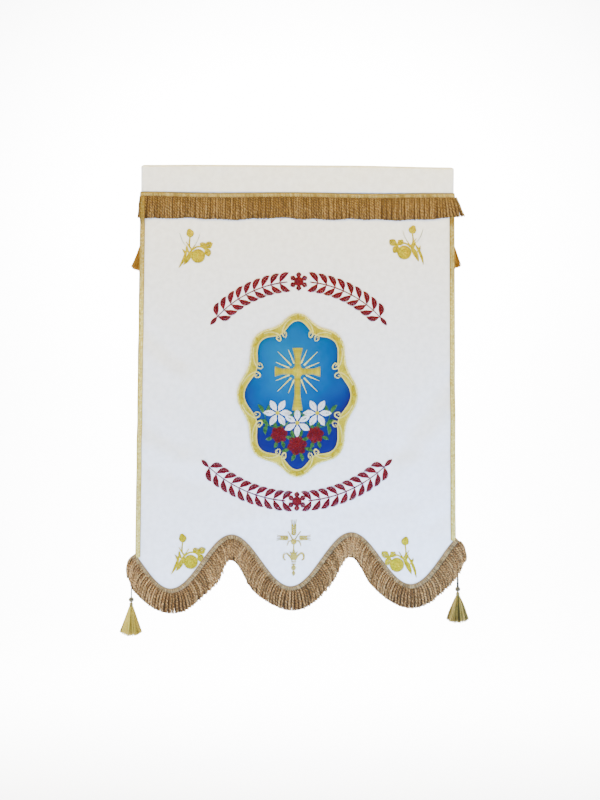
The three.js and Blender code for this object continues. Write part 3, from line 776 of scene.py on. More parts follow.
def overcast(name, spans, line, away, start, reach, slant, thread, **shades):
    """Slanting stitches over a tape, from a start below its upper line over a reach across."""
    end = TOP_TAPE_HALF - STITCH_END_GAP
    x = np.linspace(-end, end, spans)
    off = away(x)
    z = line(x) + off[:, 1] * start
    roots = row(x + off[:, 0] * start, front_depth(x, z) - 1.2 * MM, z)
    across = off * reach + np.stack([-off[:, 1], off[:, 0]], -1) * slant
    return lay(name, [(roots, row(across[:, 0] / 2, -2.0 * MM, across[:, 1] / 2),
                       row(across[:, 0], 0.2 * MM, across[:, 1]))],
               thread, pitch=1.2 * MM, radius=0.66 * MM, taper=0.4, sides=3, steps=4,
               scatter=(0.15 * MM, 0.1 * MM, 0.2 * MM), stray=(0.3 * MM, 0, 0.3 * MM), **shades)


top_tape = woven_tape("top_tape", 90, top_tape_line, straight_down, tape_weave)
top_overcast = overcast("top_tape_stitches", 60, top_tape_line, straight_down, 1.6 * MM,
                        9.2 * MM, 1.4 * MM, tape_thread, seed=3)
top_edge_cord = tape_edging("top_tape_edge", 90, top_tape_line, edge_cord)

FRINGE_HALF = TOP_TAPE_HALF - FRINGE_END_GAP
root_x = np.linspace(-FRINGE_HALF, FRINGE_HALF, 200)
root_z = top_tape_line(root_x) - TOP_ROOT_DROP
near_end = np.clip((np.abs(root_x) - TOP_TAPE_HALF) / TOP_FLARE_REACH + 1, 0, 1)
flare = np.where(root_x < 0, TOP_FLARE_LEFT, TOP_FLARE_RIGHT) * near_end ** 1.7
uneven = 1.3 * MM * np.sin(root_x * 33) + 0.9 * MM * np.sin(root_x * 88 + 1)
drop = TOP_FRINGE_DROP + uneven - 0.3 * np.abs(flare)
top_guide = (row(root_x, front_depth(root_x, root_z) - 0.3 * MM, root_z),
             row(flare * 0.3, -2.4 * MM, -0.3 * drop),
             row(flare, -0.6 * MM, -drop))
# The back layer of each fringe is painted darker than the front one: painted shade between the
# front strands.
FRINGE = dict(pitch=5.6 * MM, layers=2, layer_gap=2.2 * MM, layer_shift=(2.8 * MM, 0, 0),
              radius=2.1 * MM, flat=0.8, taper=0.2, scatter=(0.6 * MM, 0.3 * MM, 0.4 * MM),
              stray=(1.5 * MM, 0.6 * MM, 1.1 * MM), clump=(1.6 * MM, 0.8 * MM, 2.5 * MM),
              clump_scale=75.0, wave=0.6 * MM, waves=2.1, shade_scale=160.0, shade_spread=0.32,
              shade_drift=0.1, shade_level=-0.18, painted_layer_shade=0.48, sides=8, steps=14)
# The close back row is painted dark all over: painted shade in the gaps between the strands in
# front.
SHADED_BACK_ROW = dict(pitch=1.5 * MM, radius=1.3 * MM, taper=0.2, stray=(0.4 * MM, 0, 0.6 * MM),
                   shade_spread=0.4, shade_drift=0.4, shade_level=-0.5, sides=4, steps=5)
top_fringe = lay("top_fringe_threads", [top_guide], fringe_thread, seed=11, **FRINGE)
top_backing = lay("top_fringe_back_row", [top_guide], fringe_thread, seed=12, **SHADED_BACK_ROW)
settle(top_fringe, "gold_fringe", "top_fringe")
for sewn in (top_tape, top_overcast, top_edge_cord, top_backing):
    settle(sewn, "gold_fringe")


# ---- The hem fringe
# The same rayon strands in duller beige gold hang from a tape that follows the scallops.
# They leave the tape square to it and fall plumb; a dull cord edges the tape's upper line.

HEM_FRINGE_DROP, HEM_ROOT_DROP = 44 * MM, 9 * MM
HEM_FAN, HEM_SLACK, NOTCH_SLACK = 0.45, 11 * MM, 3 * MM
HEM_END_REACH = 26 * MM
HEM_END_FAN_LEFT, HEM_END_FAN_RIGHT = 0.27, 0.43
HEM_END_SLACK_LEFT, HEM_END_SLACK_RIGHT = 5 * MM, 4 * MM

# Where the fringe was cut unevenly: middle, length added and reach, in millimetres.
HEM_UNEVEN = ((75, -7, 26), (-197, 6, 22), (-62, 4, 20))

HEM_DARK, HEM_MID, HEM_LIGHT = (0.043, 0.0205, 0.0065), (0.147, 0.0735, 0.0245), (0.43, 0.25, 0.09)
hem_thread = thread_finish("hem_rayon", (HEM_DARK, HEM_MID, HEM_LIGHT), twist=6.5 * MM,
                           groove_shade=0.14, crinkle_amount=1.6)
hem_tape_thread = thread_finish("hem_tape_thread", ((0.13, 0.078, 0.027), (0.28, 0.178, 0.068),
                                                    (0.48, 0.325, 0.135)), roughness=0.4)
hem_weave = woven_finish("hem_tape_weave", (0.25, 0.157, 0.062), (0.13, 0.077, 0.028))
hem_edge = woven_finish("hem_edge_cord", (0.2, 0.14, 0.08), (0.11, 0.075, 0.04))


def hem_normal(x):
    """Unit vectors square to the hem's tape, pointing off the cloth, as (x, z)."""
    slope = hem_slope(x)
    return np.stack([slope, -np.ones_like(slope)], -1) / np.hypot(1, slope)[:, None]


hem_tape = woven_tape("hem_tape", 220, hem_tape_top, hem_normal, hem_weave)
hem_edge_cord = tape_edging("hem_tape_edge", 220, hem_tape_top, hem_edge)
hem_overcast = overcast("hem_tape_stitches", 200, hem_tape_top, hem_normal, 1.4 * MM,
                        9.4 * MM, 1.0 * MM, hem_tape_thread, seed=5, shade_spread=1.0,
                        shade_drift=0.5, shade_level=-0.25)

root_x = np.linspace(-FRINGE_HALF, FRINGE_HALF, 320)
root_n = hem_normal(root_x)
root_z = hem_tape_top(root_x) + root_n[:, 1] * HEM_ROOT_DROP
root_at = root_x + root_n[:, 0] * HEM_ROOT_DROP
notch = np.clip(-lobe_share(root_x), 0, 1)
slack = HEM_SLACK * (1 - np.abs(lobe_share(root_x))) + NOTCH_SLACK * notch ** 2
for centre, longer, reach in HEM_UNEVEN:
    slack += longer * MM * np.exp(-((root_x - centre * MM) / (reach * MM)) ** 2)
fan = HEM_FAN * (1 - notch ** 2.8)
near_end = smoothstep(np.abs(root_x), TOP_TAPE_HALF - HEM_END_REACH, TOP_TAPE_HALF)
end_fan = np.where(root_x < 0, HEM_END_FAN_LEFT, HEM_END_FAN_RIGHT)
end_slack = np.where(root_x < 0, HEM_END_SLACK_LEFT, HEM_END_SLACK_RIGHT)
fan = fan + (end_fan - fan) * near_end
slack = slack + (end_slack - slack) * near_end
uneven = 1.1 * MM * np.sin(root_x * 41) + 0.8 * MM * np.sin(root_x * 97 + 1)
length = HEM_FRINGE_DROP + slack + uneven
tip_x = root_n[:, 0] * fan * length
tip_z = root_n[:, 1] * fan * length - (1 - fan) * length
hem_guide = (row(root_at, front_depth(root_x, hem_tape_top(root_x)) - 0.5 * MM, root_z),
             row(root_n[:, 0] * 0.4 * length, -1.8 * MM, root_n[:, 1] * 0.4 * length),
             row(tip_x, -0.6 * MM, tip_z))
# As on top, the back layer and the back row are painted darker: painted shade between the strands.
hem_fringe = lay("hem_fringe_threads", [hem_guide], hem_thread, seed=21, **FRINGE)
hem_backing = lay("hem_fringe_back_row", [hem_guide], hem_thread, seed=22, **SHADED_BACK_ROW)
settle(hem_fringe, "beige_gold_fringe", "hem_fringe")
for sewn in (hem_tape, hem_edge_cord, hem_overcast, hem_backing):
    settle(sewn, "beige_gold_fringe")


# ---- The side braids
# Pale gold galloon, sewn over both side edges: a herringbone of flat stitches between two
# rounded cords. The left one laps over the end of the top fringe.

BRAID_WIDTH = 11.8 * MM
BRAID_REACH = CLOTH_HALF + 1.5 * MM
BRAID_TOP = CLOTH_TOP - 10 * MM
BRAID_LAP, BRAID_LAP_LEVELS = 6.5 * MM, (-134 * MM, -122 * MM)
braid_weave = woven_finish("braid_weave", (0.52, 0.4, 0.1), (0.34, 0.24, 0.05))
braid_thread = thread_finish("braid_thread", ((0.5, 0.38, 0.08), (0.7, 0.58, 0.15),
                                              (0.86, 0.77, 0.27)), roughness=0.42)
braid_edge = woven_finish("braid_edge_cord", (0.44, 0.31, 0.04), (0.25, 0.165, 0.02))


def tinted_by_height(material, stops):
    """Multiplies a finish by a tint that changes with height, as (z in metres, colour)."""
    tree = material.node_tree
    shader = tree.nodes["Principled BSDF"]
    place = put(tree, "ShaderNodeTexCoord").outputs["Object"]
    height = put(tree, "ShaderNodeSeparateXYZ", {"Vector": place}).outputs["Z"]
    share = put(tree, "ShaderNodeMapRange", {"Value": height, "From Min": stops[0][0],
                                             "From Max": stops[-1][0]}).outputs["Result"]
    reach = stops[-1][0] - stops[0][0]
    tint = tone_ramp(tree, share, *[((level - stops[0][0]) / reach, colour)
                                    for level, colour in stops])
    plain = shader.inputs["Base Color"].links[0].from_socket
    mixed = put(tree, "ShaderNodeVectorMath", {0: plain, 1: tint}, operation="MULTIPLY")
    tree.links.new(mixed.outputs["Vector"], shader.inputs["Base Color"])


# The braid is duller where it lies near the top fringe.
BRAID_TINTS = ((-0.33, (1, 1, 1)), (-0.25, (0.74, 0.7, 0.74)), (-0.145, (0.68, 0.62, 0.62)),
               (-0.13, (0.42, 0.33, 0.24)), (-0.07, (0.42, 0.33, 0.24)))
for finish in (braid_weave, braid_thread, braid_edge):
    tinted_by_height(finish, BRAID_TINTS)


def side_braid(side, name, node):
    """A galloon on one side edge: its band, two columns of stitches and two cords."""
    over_fringe = side < 0
    outer = side * BRAID_REACH
    top = BRAID_TOP if over_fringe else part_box(node)[1][2]
    bottom = float(hem_tape_top(side * (BRAID_REACH - BRAID_WIDTH / 2))) + 1 * MM
    z = np.linspace(top, bottom, 110)
    lap = BRAID_LAP * smoothstep(z, *BRAID_LAP_LEVELS) if over_fringe else 0 * z
    x = np.full_like(z, outer)

    def height(level):
        """How far the braid stands off the cloth at a level."""
        return np.interp(level, z[::-1], lap[::-1])

    path = np.stack([x, z], -1)
    inward = np.tile([-side * 1.0, 0.0], (len(z), 1))
    band = strip(name + "_band", path, inward, [
        (0.4 * MM, 0.3 * MM), (1.6 * MM, 0.7 * MM), (BRAID_WIDTH / 2, 0.9 * MM),
        (BRAID_WIDTH - 1.6 * MM, 0.7 * MM), (BRAID_WIDTH - 0.4 * MM, 0.3 * MM)], braid_weave)
    columns = []
    for start, end in ((1.7 * MM, 5.9 * MM), (BRAID_WIDTH - 1.7 * MM, BRAID_WIDTH - 5.9 * MM)):
        base_x = x - side * start
        y = front_depth(base_x, z) - 0.7 * MM - height(z)
        columns.append((row(base_x, y, z),
                        row(-side * (end - start) / 2, -1.3 * MM, -1.3 * MM + 0 * z),
                        row(-side * (end - start), -0.1 * MM, -2.6 * MM + 0 * z)))
    stitches = lay(name + "_herringbone", columns, braid_thread, pitch=1.3 * MM,
                   radius=0.72 * MM, taper=0.5, sides=3, steps=4, seed=31,
                   scatter=(0.1 * MM, 0.1 * MM, 0.2 * MM), stray=(0.2 * MM, 0, 0.3 * MM))
    cords = []
    for label, inset in (("outer", 0.9 * MM), ("inner", BRAID_WIDTH - 0.9 * MM)):
        cord_x = x - side * inset
        cord_path = row(cord_x, front_depth(cord_x, z) - 0.8 * MM - height(z), z)
        cords.append(fine_cord(f"{name}_{label}_cord", cord_path, 0.95 * MM, braid_edge))
    if over_fringe:
        verts = np.array([tuple(v.co) for v in band.data.vertices])
        verts[:, 1] -= height(verts[:, 2])
        band.data.vertices.foreach_set("co", verts.ravel())
        band.data.update()
    settle(band, "pale_gold_braid", node)
    for sewn in (stitches, *cords):
        settle(sewn, "pale_gold_braid")


side_braid(-1, "left_galloon", "left_braid")
side_braid(1, "right_galloon", "right_braid")


# ---- The medallion
# An appliqué: a lobed plate of gold satin stitch round a field of blue satin. A twisted rope
# lies along the field's edge, and a pale rim of close stitches along the outer one.

MEDALLION_X, MEDALLION_Z = MEDALLION_CENTRE
LOBES, LOBE_DEPTH = 8, 16 * MM
FIELD_HALF, FIELD_LOBE_DEPTH = (118 * MM, 166 * MM), 20 * MM
# How far the blue satin's painted sheen reaches, and how far its brightest spot is shifted.
SHEEN_HALF, SHEEN_SHIFT = (190 * MM, 220 * MM), (0.1, -0.36)


def around(turn, inset=0.0):
    """Points (x, z) of the lobed outline about the medallion's centre, drawn in by inset."""
    lobe = LOBE_DEPTH * (np.cos(LOBES * turn) - 1) / 2 - inset
    return ((MEDALLION_HALF[0] + lobe) * np.cos(turn), (MEDALLION_HALF[1] + lobe) * np.sin(turn))


def field_edge(turn, grow=0.0):
    """Points (x, z) of the blue field's outline, which follows the lobes more deeply."""
    lobe = FIELD_LOBE_DEPTH * (np.cos(LOBES * turn) - 1) / 2 + grow
    return (FIELD_HALF[0] + lobe) * np.cos(turn), (FIELD_HALF[1] + lobe) * np.sin(turn)


def between(share):
    """An outline part of the way from the blue field to the lobed edge."""
    def outline(turn):
        x0, z0 = field_edge(turn)
        x1, z1 = around(turn)
        return x0 + (x1 - x0) * share, z0 + (z1 - z0) * share
    return outline


def plate_depth(height=0.0):
    """Depth of a layer that stands height above the plate's back."""
    return -CLOTH_THICKNESS / 2 - CLEARANCE - height


def blue_satin():
    """Blue satin with a painted sheen: bright in the middle and deep at the edge, with fine level
    threads.
    """
    material, tree, shader = new_finish("blue_satin", 0.5, 0.0)
    shader.inputs["Specular IOR Level"].default_value = 0.12
    shader.inputs["Specular Tint"].default_value = (0.3, 0.6, 1.0, 1)
    place = put(tree, "ShaderNodeTexCoord").outputs["Object"]
    centred = put(tree, "ShaderNodeMapping", {
        "Vector": place, "Scale": (1 / SHEEN_HALF[0], 0, 1 / SHEEN_HALF[1]),
        "Location": (-MEDALLION_X / SHEEN_HALF[0] + SHEEN_SHIFT[0], 0,
                     -MEDALLION_Z / SHEEN_HALF[1] + SHEEN_SHIFT[1])})
    reach = put(tree, "ShaderNodeVectorMath", {0: centred.outputs["Vector"]}, operation="LENGTH")
    cloud = put(tree, "ShaderNodeTexNoise", {"Vector": place, "Scale": 14, "Detail": 2})
    share = put(tree, "ShaderNodeMath", {0: cloud.outputs["Fac"], 1: 0.35,
                                         2: reach.outputs["Value"]}, operation="MULTIPLY_ADD")
    tone = tone_ramp(tree, share.outputs[0], (0.25, (0.0, 0.088, 0.2)),
                     (0.62, (0.0, 0.052, 0.17)), (1.0, (0.006, 0.006, 0.085)))
    threads = put(tree, "ShaderNodeTexWave", {"Vector": place, "Scale": 260, "Distortion": 1.2,
                                              "Detail": 1}, wave_type="BANDS",
                  bands_direction="Z")
    relief(tree, shader, tone, threads.outputs["Fac"], 0.1 * MM, 0.5)
    return material


def oval_plate(name, outline, rings, back, finish):
    """A closed plate: rings of points inside an outline, each (share, height) of it."""
    count = 160
    turn = np.arange(count) / count * 2 * math.pi
    x, z = outline(turn)
    verts = []
    for share, height in rings:
        verts.append(row(MEDALLION_X + x * share, plate_depth(height), MEDALLION_Z + z * share))
    verts.append(row(MEDALLION_X + x * 0.999, np.full(count, plate_depth(back)),
                     MEDALLION_Z + z * 0.999))
    return face_outwards(smooth_mesh(name, np.concatenate(verts),
                                     tube_faces(len(rings) + 1, count), finish))


frame_gold = thread_finish("frame_gold", ((0.28, 0.22, 0.006), (0.42, 0.34, 0.014),
                                          (0.56, 0.47, 0.045)), roughness=0.4)
frame_pale = thread_finish("frame_pale_gold", ((0.5, 0.43, 0.08), (0.66, 0.59, 0.15),
                                               (0.8, 0.74, 0.28)), roughness=0.4)
frame_base = woven_finish("frame_base", (0.45, 0.36, 0.02), (0.3, 0.23, 0.008))
rope_gold = woven_finish("rope_gold", (0.66, 0.58, 0.13), (0.4, 0.32, 0.04))

ground = oval_plate("medallion_ground", lambda turn: field_edge(turn, 1 * MM),
                    [(0.05, 1.75 * MM), (0.5, 1.72 * MM), (0.9, 1.6 * MM), (0.985, 1.4 * MM)],
                    0.2 * MM, blue_satin())
plate = oval_plate("medallion_plate", around, [(0.3, 1.3 * MM), (0.97, 1.3 * MM),
                                               (0.995, 0.9 * MM), (1.0, 0.4 * MM)], 0, frame_base)


def radial(inner, outer, height, swirl=0.0, puff=1.1 * MM, count=360):
    """Guide of stitches that run outwards from one outline to another."""
    turn = np.linspace(0, 2 * math.pi, count)
    x0, z0 = inner(turn)
    x1, z1 = outer(turn + swirl)
    return (row(MEDALLION_X + x0, plate_depth(height), MEDALLION_Z + z0),
            row((x1 - x0) / 2, -puff, (z1 - z0) / 2),
            row(x1 - x0, 0 * x0, z1 - z0))


frame_satin = lay("medallion_frame_satin", [
    radial(between(0.0), between(0.62), 1.4 * MM, 0.05),
    radial(between(0.38), between(1.0), 1.5 * MM, -0.05),
], frame_gold, pitch=1.3 * MM, radius=0.85 * MM, taper=0.5, flat=0.7, sides=4, steps=3, seed=41,
    scatter=(0.8 * MM, 0.1 * MM, 0.8 * MM), stray=(1.0 * MM, 0.1 * MM, 1.0 * MM),
    shade_scale=60.0, shade_spread=0.35, shade_drift=1.2, shade_level=-0.27)
frame_edge = lay("medallion_edge", [
    radial(lambda turn: around(turn, 3.6 * MM), lambda turn: around(turn, -0.2 * MM), 2.0 * MM,
           0.012, 1.3 * MM, 500),
], frame_pale, pitch=1.2 * MM, radius=0.75 * MM, taper=0.4, sides=4, steps=3, seed=43,
    scatter=(0.2 * MM, 0.1 * MM, 0.2 * MM))
rope_turn = np.linspace(0, 2 * math.pi, 360)
rope_x, rope_z = field_edge(rope_turn, 0.6 * MM)
ground_rope = twisted_cord("medallion_rope", row(MEDALLION_X + rope_x, plate_depth(2.7 * MM),
                                                 MEDALLION_Z + rope_z),
                           1.6 * MM, rope_gold, 6.5 * MM, 8, 1.3 * MM)
settle(plate, "blue_satin", "medallion")
for sewn in (ground, frame_satin, frame_edge, ground_rope):
    settle(sewn, "blue_satin" if sewn is ground else "pale_gold_braid")


# ---- The embroidery on the cloth
# Worked straight on the damask in padded satin stitch: a gold flower sprig in each corner, a
# gold wheat ornament on the middle lobe, and a crimson laurel garland above and below.

STITCH = dict(pitch=1.1 * MM, radius=0.72 * MM, taper=0.5, flat=0.8, sides=3, steps=3,
              scatter=(0.12 * MM, 0, 0.12 * MM), stray=(0.2 * MM, 0, 0.2 * MM),
              shade_spread=0.3, shade_drift=0.8, shade_level=-0.05)


def along(points, steps=8):
    """A smooth line through points in the plane or in space."""
    points = [np.array(p, dtype=float) for p in points]
    padded = [2 * points[0] - points[1]] + points + [2 * points[-1] - points[-2]]
    line = []
    for a, b, c, d in zip(padded, padded[1:], padded[2:], padded[3:]):
        for s in range(steps):
            t = s / steps
            line.append(0.5 * (2 * b + (c - a) * t + (2 * a - 5 * b + 4 * c - d) * t ** 2
                               + (3 * b - a - 3 * c + d) * t ** 3))
    return np.array(line + [points[-1]])


def satin(left, right, puff, ground):
    """Stitches from one edge to the other, (x, z) rows in metres, padded up by puff."""
    near = ground(left[:, 0], left[:, 1])
    far = ground(right[:, 0], right[:, 1])
    across = row(right[:, 0] - left[:, 0], far - near, right[:, 1] - left[:, 1])
    return (row(left[:, 0], near, left[:, 1]),
            across / 2 + np.array([0, -2 * puff, 0]), across)


def on_cloth(x, z):
    """Depth at which embroidery starts on the cloth."""
    return front_depth(x, z) + 0.1 * MM


def aside_of(line):
    """Unit vectors square to a line of (x, z) points."""
    heading = np.gradient(line, axis=0)
    heading /= np.linalg.norm(heading, axis=1)[:, None]
    return np.stack([-heading[:, 1], heading[:, 0]], -1)


def column(points, widths, puff=0.7 * MM, slant=0.5, ground=on_cloth):
    """A satin column along points, with widths at evenly spaced places along it."""
    line = along(points)
    share = np.linspace(0, 1, len(line))
    half = np.interp(share, np.linspace(0, 1, len(widths)), widths)[:, None] / 2
    across = aside_of(line)
    ahead = np.stack([across[:, 1], -across[:, 0]], -1) * half * slant
    return [satin(line + across * half - ahead, line - across * half + ahead, puff, ground)]


def leaf(base, tip, width, bow=0.0, puff=0.8 * MM, ground=on_cloth):
    """Two rows of slanting stitches from a midrib, like a feather."""
    base, tip = np.array(base, dtype=float), np.array(tip, dtype=float)
    run = tip - base
    square = np.array([-run[1], run[0]])
    share = np.linspace(0, 1, 15)[:, None]
    rib = base + run * share + square * bow * 4 * share * (1 - share)
    across = aside_of(rib)
    spread = width / 2 * np.sin(math.pi * np.clip(share * 0.93 + 0.05, 0, 1)) ** 0.75
    lead = run * 0.13 * (1 - share)
    return [satin(rib - across * side * 0.5 * MM, rib + across * spread * side + lead, puff, ground)
            for side in (1, -1)]


def disc(centre, radius, core=0.05, puff=0.9 * MM, ground=on_cloth):
    """A filled round, its stitches running from the edge in to a small core."""
    turn = np.linspace(0, 2 * math.pi, 33)
    rim = np.stack([np.cos(turn), np.sin(turn)], -1)
    centre = np.array(centre, dtype=float)
    return [satin(centre + rim * radius, centre + rim * radius * core, puff, ground)]


def toward(degrees):
    """Unit vector (x, z) at an angle."""
    turn = math.radians(degrees)
    return np.array([math.cos(turn), math.sin(turn)])


def bloom(centre, petals, inner, outer, width, start=0.0, puff=1.0 * MM, ground=on_cloth):
    """Petals round a centre, each a padded leaf; inner, outer and width in millimetres."""
    made = []
    for petal in range(petals):
        way = toward(start + 360 / petals * petal) * MM
        made += leaf(centre + way * inner, centre + way * outer, width * MM, 0.0, puff, ground)
    return made


def placed(guides_of, origin, mirror=1):
    """Runs a drawing in millimetres about an origin, mirrored or not."""
    def spot(x, z):
        return (origin[0] + mirror * x * MM, origin[1] + z * MM)
    return guides_of(spot)


def sprig(at):
    """Bud, stem, open bloom, a three-leaf spray, two long and two small leaves, two blades."""
    made = disc(at(12.6, 37.5), 8.8 * MM) + disc(at(14.5, 43), 5.5 * MM)
    made += disc(at(-5.6, -13.4), 16.2 * MM, 0.4)
    made += disc(at(-5.6, -13.4), 8.2 * MM, 0.05, 1.5 * MM)
    made += column([at(12.8, 29), at(14, 18), at(13.6, 8), at(8, 0)], [3 * MM, 4 * MM])
    made += column([at(8, 0), at(-2.5, 7), at(-14, 7), at(-22, 1)], [4 * MM, 3.4 * MM])
    for tip, width, bow in (((-38, 15), 17, 0.08), ((-10, 15), 15, -0.1), ((-30, -14), 16, 0.08)):
        made += leaf(at(-21, 4.5), at(*tip), width * MM, bow)
    made += leaf(at(7, 4), at(26, -33), 11 * MM, 0.04)
    made += leaf(at(18, 8), at(37, -40), 6.5 * MM, 0.05)
    made += leaf(at(14, -8), at(20, 10), 6 * MM, 0.1)
    made += leaf(at(22, -14), at(30, 2), 5 * MM, -0.1)
    made += column([at(7, 3), at(-1, 15)], [3.4 * MM, 1.6 * MM])
    made += column([at(13, 6), at(21, 18)], [3.4 * MM, 1.6 * MM])
    return made


def blades(at):
    """Two long fine blades that stand over a sprig."""
    return (column([at(-8.7, 35), at(-4.5, 22), at(2.7, 9.6)], [1.2 * MM, 2.2 * MM, 1.6 * MM])
            + column([at(36, 38), at(31, 23), at(23, 9.6)], [1.2 * MM, 2.2 * MM, 1.6 * MM]))


# Each sprig: the x and z of its origin in millimetres, and -1 where it is mirrored.
SPRIGS = {"top_left": (-226.9, -194.5, -1), "top_right": (245.2, -184.0, 1),
          "low_left": (-235.2, -873.2, -1), "low_right": (228.1, -877.2, 1)}
sprig_gold = thread_finish("sprig_gold", ((0.24, 0.17, 0.001), (0.41, 0.315, 0.003),
                                          (0.6, 0.48, 0.025)), roughness=0.5, gloss=0.1)
blade_grey = thread_finish("blade_grey_green", ((0.4, 0.42, 0.34), (0.52, 0.54, 0.45),
                                                (0.62, 0.64, 0.56)), roughness=0.45)
gold_guides, blade_guides = [], []
for x, z, mirror in SPRIGS.values():
    gold_guides += placed(sprig, (x * MM, z * MM), mirror)
    if z > -500:
        blade_guides += placed(blades, (x * MM, z * MM), mirror)
sprigs = lay("corner_sprigs", gold_guides, sprig_gold, seed=61, **STITCH)
sprig_blades = lay("corner_sprig_blades", blade_guides, blade_grey, seed=62, **STITCH)


def wheat(at):
    """Three ears with awns over a boss, and a palmette that tapers to a drop."""
    made = disc(at(0, 16), 6.4 * MM, 0.1, 1.2 * MM)
    for ear_x, ear_z, turn in ((0, 28, 90), (-11, 24, 178), (11, 24, 2)):
        cos, sin = math.cos(math.radians(turn)), math.sin(math.radians(turn))

        def out(far, wide):
            return at(ear_x + cos * far - sin * wide, ear_z + sin * far + cos * wide)
        long = 1.0 if turn == 90 else 0.72
        for k in range(5):
            for side in (1, -1):
                made += leaf(out((2 + 4.6 * k) * long, 0), out((8.5 + 4.6 * k) * long, side * 4.4),
                             5.2 * MM, side * 0.1, 0.7 * MM)
        for side in (-1, -0.4, 0.4, 1):
            made += column([out(20 * long, side * 2.5), out(36 * long, side * 6)],
                           [1.8 * MM, 1.2 * MM], 0.4 * MM)
    made += column([at(-2, 19), at(-7, 29), at(-12.5, 38)], [3.4 * MM, 2 * MM])
    made += column([at(2, 19), at(8, 29), at(15, 38)], [3.4 * MM, 2 * MM])
    made += column([at(-5, 18), at(-11, 17), at(-14, 8)], [2.6 * MM, 3.4 * MM, 2 * MM])
    made += column([at(5, 18), at(12, 17), at(16, 7)], [2.6 * MM, 3.4 * MM, 2 * MM])
    made += column([at(0, 12), at(0, 0)], [3 * MM, 3 * MM])
    made += leaf(at(0, -24), at(0, 2), 6.5 * MM)
    for side in (-1, 1):
        made += leaf(at(side * 1, -24), at(side * 8.5, -6), 6 * MM, side * 0.12)
        made += leaf(at(side * 2, -24), at(side * 13, -13), 5.4 * MM, side * 0.15)
        made += column([at(side * 3, -25), at(side * 10, -14), at(side * 17, -9),
                        at(side * 22, -13), at(side * 22, -21), at(side * 18, -24)],
                       [3.4 * MM, 5.2 * MM, 2.8 * MM])
    made += column([at(-5, -28), at(5, -28)], [3 * MM, 3 * MM], slant=0)
    made += column([at(-4, -33), at(4, -33)], [3 * MM, 3 * MM], slant=0)
    made += leaf(at(0, -34), at(0, -47), 11 * MM)
    made += leaf(at(0, -47), at(0, -58), 8 * MM)
    return made


wheat_gold = thread_finish("wheat_gold", ((0.27, 0.185, 0.022), (0.43, 0.325, 0.055),
                                          (0.57, 0.465, 0.12)), roughness=0.5, gloss=0.1)
wheat_ornament = lay("wheat_ornament", placed(wheat, (-4.0 * MM, -857.5 * MM)), wheat_gold,
                     seed=63, **STITCH)

# Each garland: centre x and z, radius in millimetres, first and last angle in degrees.
GARLANDS = ((4.7, -510, 246, 139.8, 40.5), (0, -467, 286, 226, 315))
crimson = thread_finish("crimson_floss", ((0.075, 0.006, 0.008), (0.13, 0.0095, 0.013),
                                          (0.2, 0.018, 0.024)), roughness=0.42)


def garland(centre_x, centre_z, radius, first, last):
    """Laurel leaves in pairs along an arc, meeting at a rosette in the middle."""
    def at(degrees, lift=0.0):
        return (np.array([centre_x, centre_z]) + (radius + lift) * toward(degrees)) * MM
    middle = (first + last) / 2
    made = disc(at(middle), 11 * MM, 0.2, 1.1 * MM) + disc(at(middle), 5 * MM, 0.05, 1.8 * MM)
    made += bloom(at(middle), 6, 8, 21, 13, 30)
    for end in (first, last):
        way = math.copysign(1, middle - end)
        step = way * math.degrees(20 / radius)
        start = end + step * 0.5
        stop = middle - way * math.degrees(26 / radius)
        line = [at(start + (stop - start) * k / 8) for k in range(9)]
        made += column(line, [2.2 * MM, 3.2 * MM], 0.7 * MM)
        made += leaf(at(start), at(end - step * 0.7), 10 * MM)
        node = start
        while (stop - node) * way > 0:
            for side in (1, -1):
                made += leaf(at(node, side * 1.5), at(node + step * 1.1, side * 20.5), 13 * MM,
                             -side * way * 0.14)
            node += step
    return made


garland_guides = [guide for facts in GARLANDS for guide in garland(*facts)]
garlands = lay("laurel_garlands", garland_guides, crimson, seed=64, **STITCH)
for sewn in (sprigs, sprig_blades, wheat_ornament, garlands):
    settle(sewn, "pale_gold_braid")


# ---- The medallion's motif
# Satin stitch on the blue: a gold cross with rays over three white lilies, red roses and
# green leaves, and pale gold scrolls and gold palmettes laid over the frame.

FIELD_FRONT = 1.9 * MM


def on_field(x, z):
    """Depth at which the motif starts on the blue satin."""
    return np.full(np.shape(x), plate_depth(FIELD_FRONT))


def on_frame(x, z):
    """Depth at which scrolls and palmettes start on the frame."""
    return np.full(np.shape(x), plate_depth(FIELD_FRONT + 1.0 * MM))


def field_spot(x, z):
    """A spot in millimetres from the medallion's centre."""
    return np.array([MEDALLION_X + x * MM, MEDALLION_Z + z * MM])


def frame_spot(degrees, share):
    """A spot on the frame, part of the way from the blue field to the lobed edge."""
    x, z = between(share)(math.radians(degrees))
    return np.array([MEDALLION_X + x, MEDALLION_Z + z])


def cross():
    """A cross with flared arms, and rays between them."""
    arms = [((0, 44), (0, 104)), ((0, 60), (0, -34)), ((8, 52), (50, 52)), ((-8, 52), (-50, 52))]
    made = []
    for start, end in arms:
        made += column([field_spot(*start), field_spot(*end)], [15 * MM, 14 * MM, 14 * MM, 24 * MM],
                       1.2 * MM, 0.0, on_field)
    made += disc(field_spot(0, 52), 13 * MM, 0.05, 2.2 * MM, on_field)
    return made


def rays():
    """Three tapering rays between each two arms of the cross."""
    made = []
    middle = np.array([0, 52])
    for quarter in range(4):
        for turn_by, far in ((-22, 52), (0, 62), (22, 52)):
            way = toward(45 + 90 * quarter + turn_by)
            made += column([field_spot(*(middle + way * 20)), field_spot(*(middle + way * far))],
                           [4.2 * MM, 1.0 * MM], 0.7 * MM, 0.3, on_field)
    return made


# Each lily: x, z and the angle of its first petal; each rose: x, z and radius.
LILIES = ((0, -62, 90), (-44, -40, 120), (44, -40, 60))
ROSES = ((-40, -88, 19), (40, -88, 19), (0, -112, 22))


